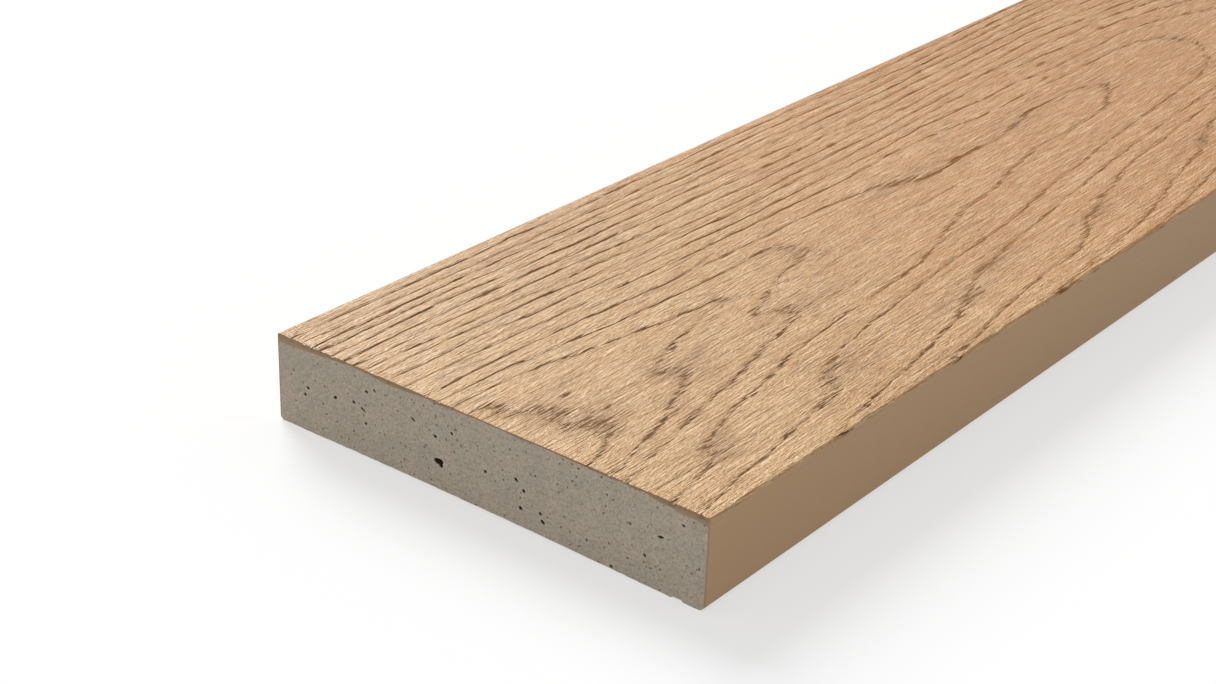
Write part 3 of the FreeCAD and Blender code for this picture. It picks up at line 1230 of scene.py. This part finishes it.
@dataclass(frozen=True)
class CastCoreFinish:
    """Sawn face of the mineral-filled foam core, with bubbles of every size."""

    body: Colour = (0.655, 0.546, 0.425)
    cool: Colour = (0.585, 0.520, 0.418)
    dark: Colour = (0.350, 0.290, 0.215)
    light: Colour = (0.760, 0.680, 0.560)
    # Painted shade: near-black colour inside the open bubbles, the small bubbles and the pinholes
    hole_shade: Colour = (0.035, 0.028, 0.020)
    raggedness: float = 0.25
    # How much painted shade the pinholes and the small bubbles get
    pinhole_shade_share: float = 0.28
    bubble_shade_share: float = 0.50
    rim_share: float = 0.50
    pore_raggedness: float = 0.9
    pore_from: float = 0.12
    pore_dark_at: float = 0.62
    grain_relief: float = 0.4
    saw_relief: float = 0.3
    relief_depth: float = 0.35
    roughness: float = 0.85
    specular: float = 0.2
    clouds: Mottle = Mottle((9.0, 9.0, 7.0), 0.0, 2.0, 0.35, 0.65)
    mottling: Mottle = Mottle((2.1, 2.1, 1.5), 4.9, 3.0, 0.50, 0.74, 0.0, 0.42)
    pale_patches: Mottle = Mottle((1.7, 1.7, 1.1), 7.2, 3.0, 0.52, 0.72, 0.0, 0.45)
    saw_marks: Mottle = Mottle((4.0, 7.0, 0.9), 1.7, 2.0, 0.46, 0.66, 0.0, 0.12, turned=28.0)
    grains: Mottle = Mottle((0.8, 0.8, 0.8), 3.1, 2.0, 0.42, 0.70, 0.0, 0.50)
    crowding: Mottle = Mottle((12.0, 12.0, 8.0), 8.8, 1.0, 0.38, 0.62, -0.12, 0.0)
    small_bubbles: Specks = Specks(1.5, 0.0, 0.68, 0.24, -0.08, 0.10)
    # Pinholes, painted in the near-black hole shade
    pinholes: Specks = Specks(0.75, 5.1, 0.74, 0.28, -0.10, 0.12)

    def material(self) -> bpy.types.Material:
        """Build the finish.

        Returns:
            The material.
        """
        sheet = NodeSheet("cast_core")
        grains, sawn = sheet.noise(self.grains), sheet.noise(self.saw_marks)
        ragged = sheet.grown(grains, 2.0 * self.raggedness, -self.raggedness)
        colour = sheet.mix(sheet.eased(self.clouds), self.body, self.cool)
        colour = sheet.mix(sheet.eased(self.mottling), colour, self.dark)
        colour = sheet.mix(sheet.eased(self.pale_patches), colour, self.light)
        for noise, mottle in ((sawn, self.saw_marks), (grains, self.grains)):
            share = sheet.step(noise, mottle.start, mottle.end, mottle.low, mottle.high)
            colour = sheet.mix(share, colour, self.dark)
        bubbles = sheet.specks(self.small_bubbles, sheet.math("ADD", sheet.eased(self.crowding), ragged))
        # Painted shade: pinholes and small bubbles take the near-black hole colour
        colour = sheet.mix(sheet.times(sheet.specks(self.pinholes), self.pinhole_shade_share), colour, self.hole_shade)
        colour = sheet.mix(sheet.times(bubbles, self.bubble_shade_share), colour, self.hole_shade)
        colour = sheet.mix(sheet.times(sheet.attribute("rim"), self.rim_share), colour, self.light)
        # Painted shade: the open bubbles darken to near black as they deepen
        pore = sheet.grown(ragged, self.pore_raggedness, sheet.attribute("pore"))
        colour = sheet.mix(sheet.step(pore, self.pore_from, self.pore_dark_at), colour, self.hole_shade)
        height = sheet.math("SUBTRACT", sheet.times(grains, self.grain_relief), bubbles)
        height = sheet.grown(sawn, self.saw_relief, height)
        return sheet.finish(colour, self.roughness, height, self.relief_depth, self.specular)


@dataclass
class WearSkin:
    """Moulded skin: walking face, two rounded arrises and both long edges, closed at the bond line.

    Each zone of stations has the place where it ends and its pitch. The edge at the cut is nicked
    where noise and relief, in their shares, add up to more than the first nick mark, and the nicks
    are deepest above the second. The least and the deepest relief are in relief depths.
    """

    section: BoardSection
    rings: GrowthRings
    finish: OakPrintFinish = OakPrintFinish()
    zones: tuple[tuple[float, float], ...] = ((300.0, 2.5), (560.0, 4.0), (3600.0, 19.0))
    row_count: int = 254
    merge_within: float = 0.05
    arris_steps: int = 4
    side_step: float = 3.0
    relief_depth: float = 0.40
    least_relief: float = 0.01
    deepest: float = 1.6
    nick_length: float = 2.4
    nick_span: float = 1.9
    nick_seed: int = 51
    nick_noise: float = 0.5
    nick_relief: float = 0.9
    nick_marks: tuple[float, float] = (0.35, 0.8)
    nick_room: float = 0.55
    nick_inset: float = 1.0
    sharp_from: float = 50.0

    def build(self) -> Piece:
        """Model the skin and dress it.

        Returns:
            The finished piece.
        """
        piece = self.face()
        for edge in LongEdge:
            self.wrap(piece, edge)
        grain = self.grain_map(piece)
        self.press_grain(piece, grain)
        for end in BoardEnd:
            self.thicken(piece, end)
        self.line_inside(piece)
        close_and_orient(piece)
        along, across = self.from_cut_end(places(piece))
        for layer in ("ring", "ring_rise", "ring_pitch", "feather", "mark"):
            set_attribute(piece, layer, grain.at(layer, along, across))
        dress(piece, self.finish.material(self.section.half_length), self.sharp_from)
        return piece

    def from_cut_end(self, where: np.ndarray) -> tuple[np.ndarray, np.ndarray]:
        """Distances from the cut end, and places across the board."""
        return where[:, 0] + self.section.half_length, where[:, 1]

    def face(self) -> Piece:
        """Lay the flat walking face from one grid for each zone, finest near the cut end.

        Returns:
            The face.
        """
        width = 2.0 * (self.section.half_width - self.section.arris)
        parts: list[Piece] = []
        start = 0.0
        for end, pitch in self.zones:
            length = end - start
            middle = (start + end - self.section.length) / 2.0
            part = add_grid(
                round(length / pitch), self.row_count, (middle * MM, 0.0, self.section.thickness * MM))
            part.scale = (length * MM, width * MM, 1.0)
            bpy.ops.object.transform_apply(location=True, rotation=False, scale=True)
            parts.append(part)
            start = end
        return join(parts, "moulded_wear_skin", self.merge_within)

    def wrap(self, piece: Piece, edge: LongEdge) -> None:
        """Spin one long edge of the face over its arris, then pull it down the side of the board.

        Args:
            piece: The skin so far.
            edge: Which long edge to wrap.
        """
        side = edge.value
        turn_y = self.section.half_width - self.section.arris
        turn_z = self.section.thickness - self.section.arris
        at_edge = side * places(piece)[:, 1] > turn_y - LEVEL_WITHIN
        begin_edit_with(piece, edges_between(piece, at_edge))
        bpy.ops.mesh.spin(
            steps=self.arris_steps, angle=math.radians(90.0) * side,
            center=(0.0, side * turn_y * MM, turn_z * MM), axis=(1.0, 0.0, 0.0))
        foot = self.section.near_foot if edge is LongEdge.NEAR else self.section.far_foot
        steps = round((turn_z - foot) / self.side_step)
        down = (0.0, 0.0, (foot - turn_z) / steps * MM)
        for _ in range(steps):
            bpy.ops.mesh.extrude_region_move(TRANSFORM_OT_translate={"value": down})
        end_edit()

    def grain_map(self, piece: Piece) -> GrainMap:
        """Work out the grain at the stations and rows of the face.

        Args:
            piece: The skin before it has a thickness.

        Returns:
            The filled map.
        """
        where = places(piece)
        along, across = self.from_cut_end(where[where[:, 2] > self.section.thickness - LEVEL_WITHIN])
        grain = GrainMap(self.rings, np.unique(np.round(along, 2)), np.unique(np.round(across, 2)))
        grain.fill()
        return grain

    def press_grain(self, piece: Piece, grain: GrainMap) -> None:
        """Sink the grain into the walking face, as the mould does.

        Args:
            piece: The skin before it has a thickness.
            grain: Grain values over the face.
        """
        where = places(piece)
        along, across = self.from_cut_end(where)
        arris_z = self.section.thickness - self.section.arris
        relief = grain.at("relief", along, across)
        relief *= smoothstep(where[:, 2], arris_z, self.section.thickness)
        relief = np.maximum(relief, self.nicks(along, across, relief))
        group = piece.vertex_groups.new(name="grain")
        for index in np.flatnonzero(relief > self.least_relief):
            group.add([int(index)], float(relief[index]) / self.deepest, "REPLACE")
        press = piece.modifiers.new("press_grain", "DISPLACE")
        press.vertex_group = group.name
        press.direction = "Z"
        press.mid_level = 0.0
        press.strength = -self.relief_depth * self.deepest * MM
        make_active(piece)
        bpy.ops.object.modifier_apply(modifier=press.name)
        piece.vertex_groups.clear()

    def nicks(self, along: np.ndarray, across: np.ndarray, relief: np.ndarray) -> np.ndarray:
        """Find where the saw has torn the edge of the walking face, most where a groove meets it.

        Args:
            along: Distances from the cut end.
            across: Places across the board.
            relief: Depth of the grain there, in relief depths.

        Returns:
            Depth of the nicks, in relief depths.
        """
        torn = self.nick_noise * wave(across / self.nick_span, self.nick_seed) + self.nick_relief * relief
        room = self.nick_room * self.section.skin_depth(across) / self.relief_depth
        room = np.clip(room, 0.0, self.deepest)
        inside = self.section.half_width - self.section.arris - np.abs(across)
        at_cut = 1.0 - smoothstep(along, 0.0, self.nick_length)
        return smoothstep(torn, *self.nick_marks) * room * smoothstep(inside, 0.0, self.nick_inset) * at_cut

    def thicken(self, piece: Piece, end: BoardEnd) -> None:
        """Extrude the outline of one end inwards to the bond line, which makes its cut face.

        Args:
            piece: The skin as an open shell.
            end: Which end to close.
        """
        before = len(piece.data.vertices)
        at_end = end.value * places(piece)[:, 0] > self.section.half_length - END_WITHIN
        begin_edit_with(piece, edges_between(piece, at_end))
        bpy.ops.mesh.extrude_region_move()
        end_edit()
        where = places(piece)
        inner_y, inner_z = self.section.behind_skin(where[before:, 1], where[before:, 2])
        where[before:, 1] = inner_y
        where[before:, 2] = inner_z
        set_places(piece, where)

    def line_inside(self, piece: Piece) -> None:
        """Bridge the two bond lines along the board, which makes the skin's inner face.

        Args:
            piece: The skin with its two cut faces.
        """
        begin_edit_at_rim(piece)
        end_edit()
        on_rim = np.empty(len(piece.data.edges), bool)
        piece.data.edges.foreach_get("select", on_rim)
        where = places(piece)
        at_ends = edges_between(piece, np.abs(where[:, 0]) > self.section.half_length - END_WITHIN)
        ends = where[edge_ends(piece)]
        same_end = ends[:, 0, 0] * ends[:, 1, 0] > 0.0
        begin_edit_with(piece, on_rim & at_ends & same_end & ~self.is_lip(ends))
        bpy.ops.mesh.bridge_edge_loops()
        end_edit()

    def is_lip(self, ends: np.ndarray) -> np.ndarray:
        """Tell the short edges under the skin's two feet from the others.

        Args:
            ends: Places of both ends of each edge.

        Returns:
            True for each edge that runs across a foot.
        """
        highest_foot = max(self.section.near_foot, self.section.far_foot)
        low = ends[:, :, 2].max(axis=1) < highest_foot + LEVEL_WITHIN
        level = np.abs(ends[:, 0, 2] - ends[:, 1, 2]) < LEVEL_WITHIN
        return low & level


# Bubbles that the cut opens, besides the ones below the size of a mesh cell: place across, height,
# length, width, lean in degrees and depth as a share of the width.
BUBBLES: list[tuple[float, float, float, float, float, float]] = [
    (76.1, 13.3, 1.5, 1.2, 0, 1), (74.7, 16.2, 1.8, 1.3, 0, 1), (62.2, 17.0, 2.1, 1.2, -25, 1),
    (53.8, 18.3, 1.7, 1.2, 15, 1), (49.6, 17.1, 3.2, 1.0, 20, 1), (48.5, 12.4, 1.4, 1.2, 0, 1),
    (48.1, 24.2, 1.7, 1.2, 0, 1), (44.4, 25.8, 1.6, 1.1, 20, 1), (27.7, 21.6, 2.7, 1.0, 25, 1),
    (18.3, 19.0, 1.7, 1.3, 0, 1), (16.8, 10.6, 4.2, 2.2, -10, 1), (15.9, 9.4, 2.0, 1.6, 0, 1),
    (11.2, 22.6, 1.3, 1.3, 0, 1), (-2.6, 14.4, 1.6, 1.2, -20, 1), (-15.2, 16.3, 1.8, 1.4, 30, 1),
    (-17.1, 7.1, 1.6, 1.6, 0, 1), (-18.3, 13.6, 1.3, 1.3, 0, 1), (-25.0, 8.2, 1.3, 1.3, 0, 1),
    (-26.0, 5.6, 1.9, 1.4, 20, 1), (-65.1, 10.1, 1.2, 1.2, 0, 1), (-70.7, 18.6, 2.8, 1.0, -12, 1),
    (-78.5, 25.7, 1.8, 0.9, 15, 1), (-39.3, 29.4, 1.1, 1.0, 0, 1), (-50.4, 24.9, 0.9, 0.9, 0, 1),
    (-52.9, 1.2, 1.6, 1.1, 0, 1), (-10.2, 14.3, 0.9, 0.9, 0, 1), (-22.8, 20.6, 1.0, 1.0, 0, 1),
    (-43.3, 6.4, 1.1, 1.0, 0, 1), (-28.0, 1.4, 1.0, 0.7, 0, 1), (-17.3, 12.6, 0.8, 0.8, 0, 1),
    (70.5, 18.2, 1.0, 0.9, 0, 0.5), (70.0, 11.0, 0.8, 0.8, 0, 0.5), (65.3, 15.0, 0.8, 0.8, 0, 0.5),
    (68.3, 3.2, 1.2, 1.0, 0, 0.5), (48.3, 22.2, 1.0, 0.9, 0, 0.6), (42.5, 11.2, 1.2, 1.0, 0, 0.5),
    (34.3, 22.3, 1.6, 1.0, 0, 0.5), (15.2, 25.2, 1.1, 0.8, 0, 0.6), (16.3, 18.4, 1.0, 0.9, 0, 0.6),
    (6.2, 27.2, 2.4, 0.7, 20, 0.5), (-6.3, 22.8, 1.1, 1.0, 0, 0.6), (-10.0, 23.9, 0.9, 0.9, 0, 0.5),
    (-15.0, 19.6, 1.0, 0.7, 0, 0.6), (-14.3, 28.5, 0.9, 0.8, 0, 0.5), (-31.5, 21.2, 1.2, 1.1, 0, 0.6),
    (-31.3, 29.8, 0.9, 0.8, 0, 0.6), (-34.5, 10.9, 1.0, 1.0, 0, 0.6), (-49.3, 18.0, 1.2, 1.0, 0, 0.6),
    (-59.0, 18.6, 2.2, 1.2, 0, 0.6), (-60.8, 21.3, 1.3, 0.8, 0, 0.6), (-53.0, 9.8, 1.2, 0.7, 0, 0.6),
    (-59.0, 6.6, 1.2, 1.1, 0, 0.5), (-69.0, 28.1, 1.1, 1.0, 0, 0.6), (-69.0, 5.0, 1.2, 0.8, 0, 0.5),
    (-73.7, 19.0, 1.0, 1.0, 0, 0.6), (-69.0, 16.8, 1.5, 0.5, 0, 0.6), (-84.9, 13.6, 1.2, 1.1, 0, 0.6),
    (-54.7, 22.4, 0.9, 0.9, 0, 0.6), (-53.8, 17.2, 1.1, 0.6, 20, 0.5), (-38.7, 16.1, 0.8, 0.7, 0, 0.5),
    (-30.0, 23.2, 1.0, 0.7, 20, 0.5), (-18.9, 16.2, 0.9, 0.8, 0, 0.6), (-14.0, 28.8, 0.9, 0.8, 0, 0.5),
    (-31.5, 29.6, 0.9, 0.7, 0, 0.5), (-64.0, 21.8, 1.1, 0.6, 0, 0.4), (-44.4, 12.6, 0.8, 0.8, 0, 0.5),
    (-41.3, 12.4, 1.0, 0.6, 0, 0.4), (-28.7, 4.7, 0.9, 0.6, 0, 0.6), (-70.5, 10.8, 0.8, 0.7, 0, 0.5),
    (-70.3, 8.9, 0.8, 0.8, 0, 0.5), (-87.0, 16.3, 0.9, 0.8, 0, 0.5), (-79.8, 27.8, 0.9, 0.8, 0, 0.5),
    (-42.3, 4.5, 0.8, 0.7, 0, 0.4), (-14.0, 6.3, 0.9, 0.8, 0, 0.5), (-18.7, 8.6, 0.8, 0.8, 0, 0.4),
    (-14.0, 21.0, 0.9, 0.7, 0, 0.4), (-3.2, 17.0, 0.9, 0.8, 0, 0.5), (1.2, 3.7, 0.9, 0.8, 0, 0.5),
    (2.3, 6.8, 0.8, 0.8, 0, 0.5), (8.7, 22.0, 0.9, 0.8, 0, 0.5), (12.3, 12.3, 0.8, 0.8, 0, 0.5),
    (12.2, 25.8, 0.8, 0.7, 0, 0.5), (11.0, 29.7, 0.9, 0.6, 0, 0.5), (15.5, 5.8, 0.9, 0.8, 0, 0.5),
    (22.3, 24.2, 0.9, 0.8, 0, 0.5), (26.6, 13.5, 0.8, 0.8, 0, 0.5), (30.5, 26.3, 0.9, 0.8, 0, 0.5),
    (31.3, 15.3, 0.9, 0.8, 0, 0.5), (39.0, 17.8, 0.9, 0.8, 0, 0.5), (40.0, 10.5, 0.8, 0.8, 0, 0.5),
    (42.7, 20.7, 0.9, 0.7, 0, 0.5), (46.0, 22.5, 0.9, 0.7, 0, 0.6), (50.0, 14.1, 0.8, 0.8, 0, 0.5),
    (51.2, 19.0, 0.9, 0.8, 0, 0.6), (62.3, 2.0, 1.0, 0.7, 0, 0.6), (65.5, 2.0, 0.9, 0.7, 0, 0.6),
    (75.5, 2.0, 0.9, 0.7, 0, 0.6), (80.0, 3.2, 1.0, 0.8, 0, 0.6), (83.0, 3.0, 0.9, 0.7, 0, 0.6),
    (79.3, 8.3, 0.8, 0.8, 0, 0.5), (71.5, 15.8, 0.8, 0.7, 0, 0.5), (72.9, 21.5, 0.8, 0.7, 0, 0.5),
]


@dataclass
class FoamedCore:
    """Cast core with its bubbles open at both cut ends, and the hollow underside.

    The chip has the places across the board where it starts and ends, and its height. It comes and
    goes over its two slopes. The columns of an end face are closer together at both sides. Each
    range is a least and a most, and a bubble's depth is a share of its width.
    """

    section: BoardSection
    finish: CastCoreFinish = CastCoreFinish()
    columns: int = 470
    levels: int = 84
    side_tightness: float = 0.012
    side_power: int = 12
    merge_within: float = 0.001
    chip: tuple[float, float, float] = (-80.0, -75.5, 0.6)
    chip_slopes: tuple[float, float] = (0.7, 0.4)
    chip_length: float = 1.5
    wear: float = 0.10
    wear_span: float = 2.3
    wear_seed: int = 43
    wear_reach: float = 3.0
    bubble_count: int = 70
    bubble_seed: int = 41
    bubble_inset: float = 3.0
    bubble_heights: tuple[float, float] = (3.0, 27.5)
    least_width: float = 0.6
    width_range: float = 1.2
    width_power: float = 0.6
    bubble_stretch: tuple[float, float] = (1.0, 1.9)
    bubble_leans: tuple[float, float] = (-30.0, 30.0)
    bubble_shares: tuple[float, float] = (0.4, 1.0)
    pore_deepness: float = 0.75
    rim_marks: tuple[float, float] = (0.15, 0.7)
    unbroken_side: float = 0.4
    sharp_from: float = 60.0

    def build(self) -> Piece:
        """Model the core and dress it.

        Returns:
            The finished piece.
        """
        piece = join([self.end_face(end) for end in BoardEnd], "cast_foam_core", self.merge_within)
        self.run_between(piece)
        close_and_orient(piece)
        where = self.knock(places(piece))
        pore, rim = np.zeros(len(where)), np.zeros(len(where))
        for end in BoardEnd:
            here = end.value * where[:, 0] > self.section.half_length - END_WITHIN
            pore[here], rim[here] = self.pore_depth(end, where[here, 1], where[here, 2])
            where[here, 0] -= end.value * pore[here]
        set_places(piece, where)
        set_attribute(piece, "pore", pore)
        set_attribute(piece, "rim", rim)
        dress(piece, self.finish.material(), self.sharp_from)
        return piece

    def end_face(self, end: BoardEnd) -> Piece:
        """Lay one cut end as a fine grid that fills the core's section.

        Args:
            end: Which end.

        Returns:
            The flat face, in its place.
        """
        face = add_grid(self.columns, self.levels, (0.0, 0.0, 0.0))
        share = places(face) * MM + 0.5
        middle = (self.section.near_core + self.section.far_core) / 2.0
        half = (self.section.far_core - self.section.near_core) / 2.0
        spread = 2.0 * share[:, 0] - 1.0
        spread += self.side_tightness * np.sin(math.pi * spread) * np.abs(spread) ** self.side_power
        across = middle + half * np.clip(spread, -1.0, 1.0)
        low, high = self.section.core_bottom(across), self.section.core_top(across)
        along = np.full_like(across, end.value * self.section.half_length)
        set_places(face, np.column_stack([along, across, low + (high - low) * share[:, 1]]))
        return face

    def run_between(self, piece: Piece) -> None:
        """Bridge the outlines of the two ends along the board, with one station behind each end.

        Args:
            piece: The two end faces.
        """
        begin_edit_at_rim(piece)
        bpy.ops.mesh.bridge_edge_loops(number_cuts=len(BoardEnd))
        end_edit()
        where = places(piece)
        inner = np.abs(where[:, 0]) < self.section.half_length - END_WITHIN
        where[inner, 0] = np.sign(where[inner, 0]) * (self.section.half_length - self.chip_length)
        set_places(piece, where)

    def knock(self, where: np.ndarray) -> np.ndarray:
        """Chip the lower edge of the seen end and make the edge a little uneven.

        Args:
            where: Places of all vertices.

        Returns:
            The changed places.
        """
        start, end, rise = self.chip
        comes, goes = self.chip_slopes
        at_end = where[:, 0] < END_WITHIN - self.section.half_length
        across = where[:, 1]
        chip = smoothstep(across, start, start + comes) * (1.0 - smoothstep(across, end - goes, end))
        wear = self.wear + self.wear * wave(across / self.wear_span, self.wear_seed)
        low = 1.0 - smoothstep(where[:, 2], 0.0, self.wear_reach * rise)
        where[:, 2] += np.where(at_end, low * (rise * chip + wear), 0.0)
        return where

    def bubbles(self, end: BoardEnd) -> list[tuple[float, float, float, float, float, float]]:
        """List the bubbles of one end: by hand at the cut end that is seen, seeded at the other.

        Args:
            end: Which end.

        Returns:
            For each, what BUBBLES lists.
        """
        if end is BoardEnd.CUT:
            return BUBBLES
        draw = np.random.default_rng(self.bubble_seed)
        count, inset = self.bubble_count, self.bubble_inset
        across = draw.uniform(self.section.near_core + inset, self.section.far_core - inset, count)
        height = draw.uniform(*self.bubble_heights, count)
        width = self.least_width + self.width_range * draw.power(self.width_power, count)
        length = width * draw.uniform(*self.bubble_stretch, count)
        lean = draw.uniform(*self.bubble_leans, count)
        share = draw.uniform(*self.bubble_shares, count)
        return list(zip(across, height, length, width, lean, share))

    def pore_depth(self, end: BoardEnd, across: np.ndarray,
                   height: np.ndarray) -> tuple[np.ndarray, np.ndarray]:
        """Work out the open bubbles behind the cut, and their paler rims.

        Args:
            end: Which end of the board.
            across: Places across the board.
            height: Heights of the same points.

        Returns:
            The depth at each point, 0 beside the bubbles, and 1 in the rims down to 0 elsewhere.
        """
        depth, rim = np.zeros_like(across), np.zeros_like(across)
        for at, level, length, width, lean, share in self.bubbles(end):
            turn = math.radians(lean)
            over, up = across - at, height - level
            long_way = (over * math.cos(turn) + up * math.sin(turn)) / (length / 2.0)
            short_way = (up * math.cos(turn) - over * math.sin(turn)) / (width / 2.0)
            inside = np.clip(1.0 - long_way ** 2 - short_way ** 2, 0.0, 1.0)
            depth = np.maximum(depth, share * self.pore_deepness * width * np.sqrt(inside))
            away = (np.hypot(long_way, short_way) - 1.0) * width / 2.0
            rim = np.maximum(rim, share * (away > 0.0) * (1.0 - smoothstep(away, *self.rim_marks)))
        return depth * smoothstep(self.section.into_core(across), 0.0, self.unbroken_side), rim


@dataclass
class Studio:
    """Pale floor and soft plain light: an even sky, and a broad key light from behind the board.

    The floor's size is in metres, and the key light's height, side and width are in degrees. Bounce
    and light are the floor's colour and glow as the board gets them, seen and glow as the camera does.
    """

    floor_size: float = 30.0
    sky: float = 0.48
    key_irradiance: float = 2.88
    key_height: float = 34.5
    key_side: float = 60.0
    key_width: float = 30.0
    floor_bounce: float = 0.32
    floor_light: float = 0.30
    floor_seen: float = 0.43
    floor_glow: float = 0.57
    floor_roughness: float = 0.9

    def build(self) -> None:
        """Lay the floor and set the lights."""
        self.lay_floor()
        self.light_sky()
        self.hang_key()

    def lay_floor(self) -> None:
        """Large pale floor that shows white to the camera and keeps the board's soft shadow."""
        bpy.ops.object.select_all(action="DESELECT")
        bpy.ops.mesh.primitive_plane_add(size=self.floor_size, location=(0.0, 0.0, 0.0))
        floor = bpy.context.active_object
        floor.name = "studio_floor"
        material = bpy.data.materials.new("pale_floor")
        material.use_nodes = True
        tree = material.node_tree
        shader = tree.nodes["Principled BSDF"]
        shader.inputs["Roughness"].default_value = self.floor_roughness
        shader.inputs["Specular IOR Level"].default_value = 0.0
        colour = self.seen(tree, self.floor_bounce, self.floor_seen)
        tree.links.new(colour, shader.inputs["Base Color"])
        glow = self.seen(tree, self.floor_light, self.floor_glow)
        tree.links.new(glow, shader.inputs["Emission Strength"])
        floor.data.materials.append(material)

    def light_sky(self) -> None:
        """Even dome of light that looks white to the camera."""
        world = bpy.data.worlds.new("studio_sky")
        bpy.context.scene.world = world
        world.use_nodes = True
        tree = world.node_tree
        background = tree.nodes["Background"]
        background.inputs["Color"].default_value = (1.0, 1.0, 1.0, 1.0)
        tree.links.new(self.seen(tree, self.sky, 1.0), background.inputs["Strength"])

    def seen(self, tree: bpy.types.NodeTree, unseen: float, seen: float) -> Socket:
        """A number that differs for the camera.

        Args:
            tree: The nodes to add it to.
            unseen: Its value where it only lights the board.
            seen: Its value where the camera sees it.

        Returns:
            The number.
        """
        path = tree.nodes.new("ShaderNodeLightPath")
        choice = tree.nodes.new("ShaderNodeMapRange")
        choice.inputs["To Min"].default_value = unseen
        choice.inputs["To Max"].default_value = seen
        tree.links.new(path.outputs["Is Camera Ray"], choice.inputs["Value"])
        return choice.outputs[0]

    def hang_key(self) -> None:
        """Broad soft key light beyond the far long edge, the same along the whole board."""
        bpy.ops.object.light_add(type="SUN", location=(0.0, 1.0, 2.0))
        key = bpy.context.active_object
        key.name = "broad_key_light"
        key.data.energy = self.key_irradiance
        key.data.angle = math.radians(self.key_width)
        height, side = math.radians(self.key_height), math.radians(self.key_side)
        level = math.cos(height)
        toward = Vector((math.cos(side) * level, math.sin(side) * level, math.sin(height)))
        key.rotation_euler = toward.to_track_quat("Z", "Y").to_euler()


@dataclass(frozen=True)
class PhotographView:
    """Camera that sees the cut end as the photograph does.

    Its frame, focal length and corner are in pixels, its turns in degrees, its sensor in
    millimetres, and its distances in metres.
    """

    frame_width: float = 1216.0
    frame_height: float = 684.0
    focal_pixels: float = 2214.5
    azimuth: float = -52.107
    elevation: float = 26.511
    roll: float = 2.033
    corner_pixel: tuple[float, float] = (710.72, 518.53)
    corner_distance: float = 0.62725
    sensor_width: float = 36.0
    seen_from: float = 0.01
    seen_to: float = 100.0

    def build(self, corner: Vector) -> None:
        """Place the camera so that the board's near upper corner falls on its pixel.

        Args:
            corner: The near upper corner of the cut end, in metres.
        """
        turn, rise = math.radians(self.azimuth), math.radians(self.elevation)
        roll = math.radians(self.roll)
        back = Vector((math.sin(turn) * math.cos(rise), -math.cos(turn) * math.cos(rise), math.sin(rise)))
        level = (-back).cross(Vector((0.0, 0.0, 1.0))).normalized()
        upright = level.cross(-back)
        right = math.cos(roll) * level + math.sin(roll) * upright
        up = math.cos(roll) * upright - math.sin(roll) * level
        over = (self.corner_pixel[0] - self.frame_width / 2.0) / self.focal_pixels
        down = (self.corner_pixel[1] - self.frame_height / 2.0) / self.focal_pixels
        place = corner - self.corner_distance * (right * over - up * down - back)
        bpy.ops.object.camera_add()
        camera = bpy.context.active_object
        camera.name = "photograph_view"
        camera.data.sensor_width = self.sensor_width
        camera.data.lens = self.focal_pixels / self.frame_width * self.sensor_width
        camera.data.clip_start = self.seen_from
        camera.data.clip_end = self.seen_to
        turned = Matrix((right, up, back)).transposed().to_4x4()
        camera.matrix_world = Matrix.Translation(place) @ turned
        bpy.context.scene.camera = camera


def main() -> None:
    """Build the board, the studio and the camera, and report each piece."""
    logging.basicConfig(level=logging.INFO, format="%(message)s")
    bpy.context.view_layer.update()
    low, high = board_box()
    section = BoardSection(
        length=(high.x - low.x) / MM, half_width=(high.y - low.y) / 2.0 / MM, thickness=high.z / MM)
    rings = GrowthRings()
    rings.traced.fit()
    skin = WearSkin(section, rings).build()
    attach(skin, "root")
    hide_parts("wear_skin")
    LOG.info("%s: %d faces", skin.name, len(skin.data.polygons))
    core = FoamedCore(section).build()
    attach(core, "root")
    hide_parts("core")
    LOG.info("%s: %d faces", core.name, len(core.data.polygons))
    Studio().build()
    PhotographView().build(Vector((low.x, low.y, high.z)))
    bpy.context.scene.view_settings.view_transform = "Standard"


if __name__ == "__main__":
    main()
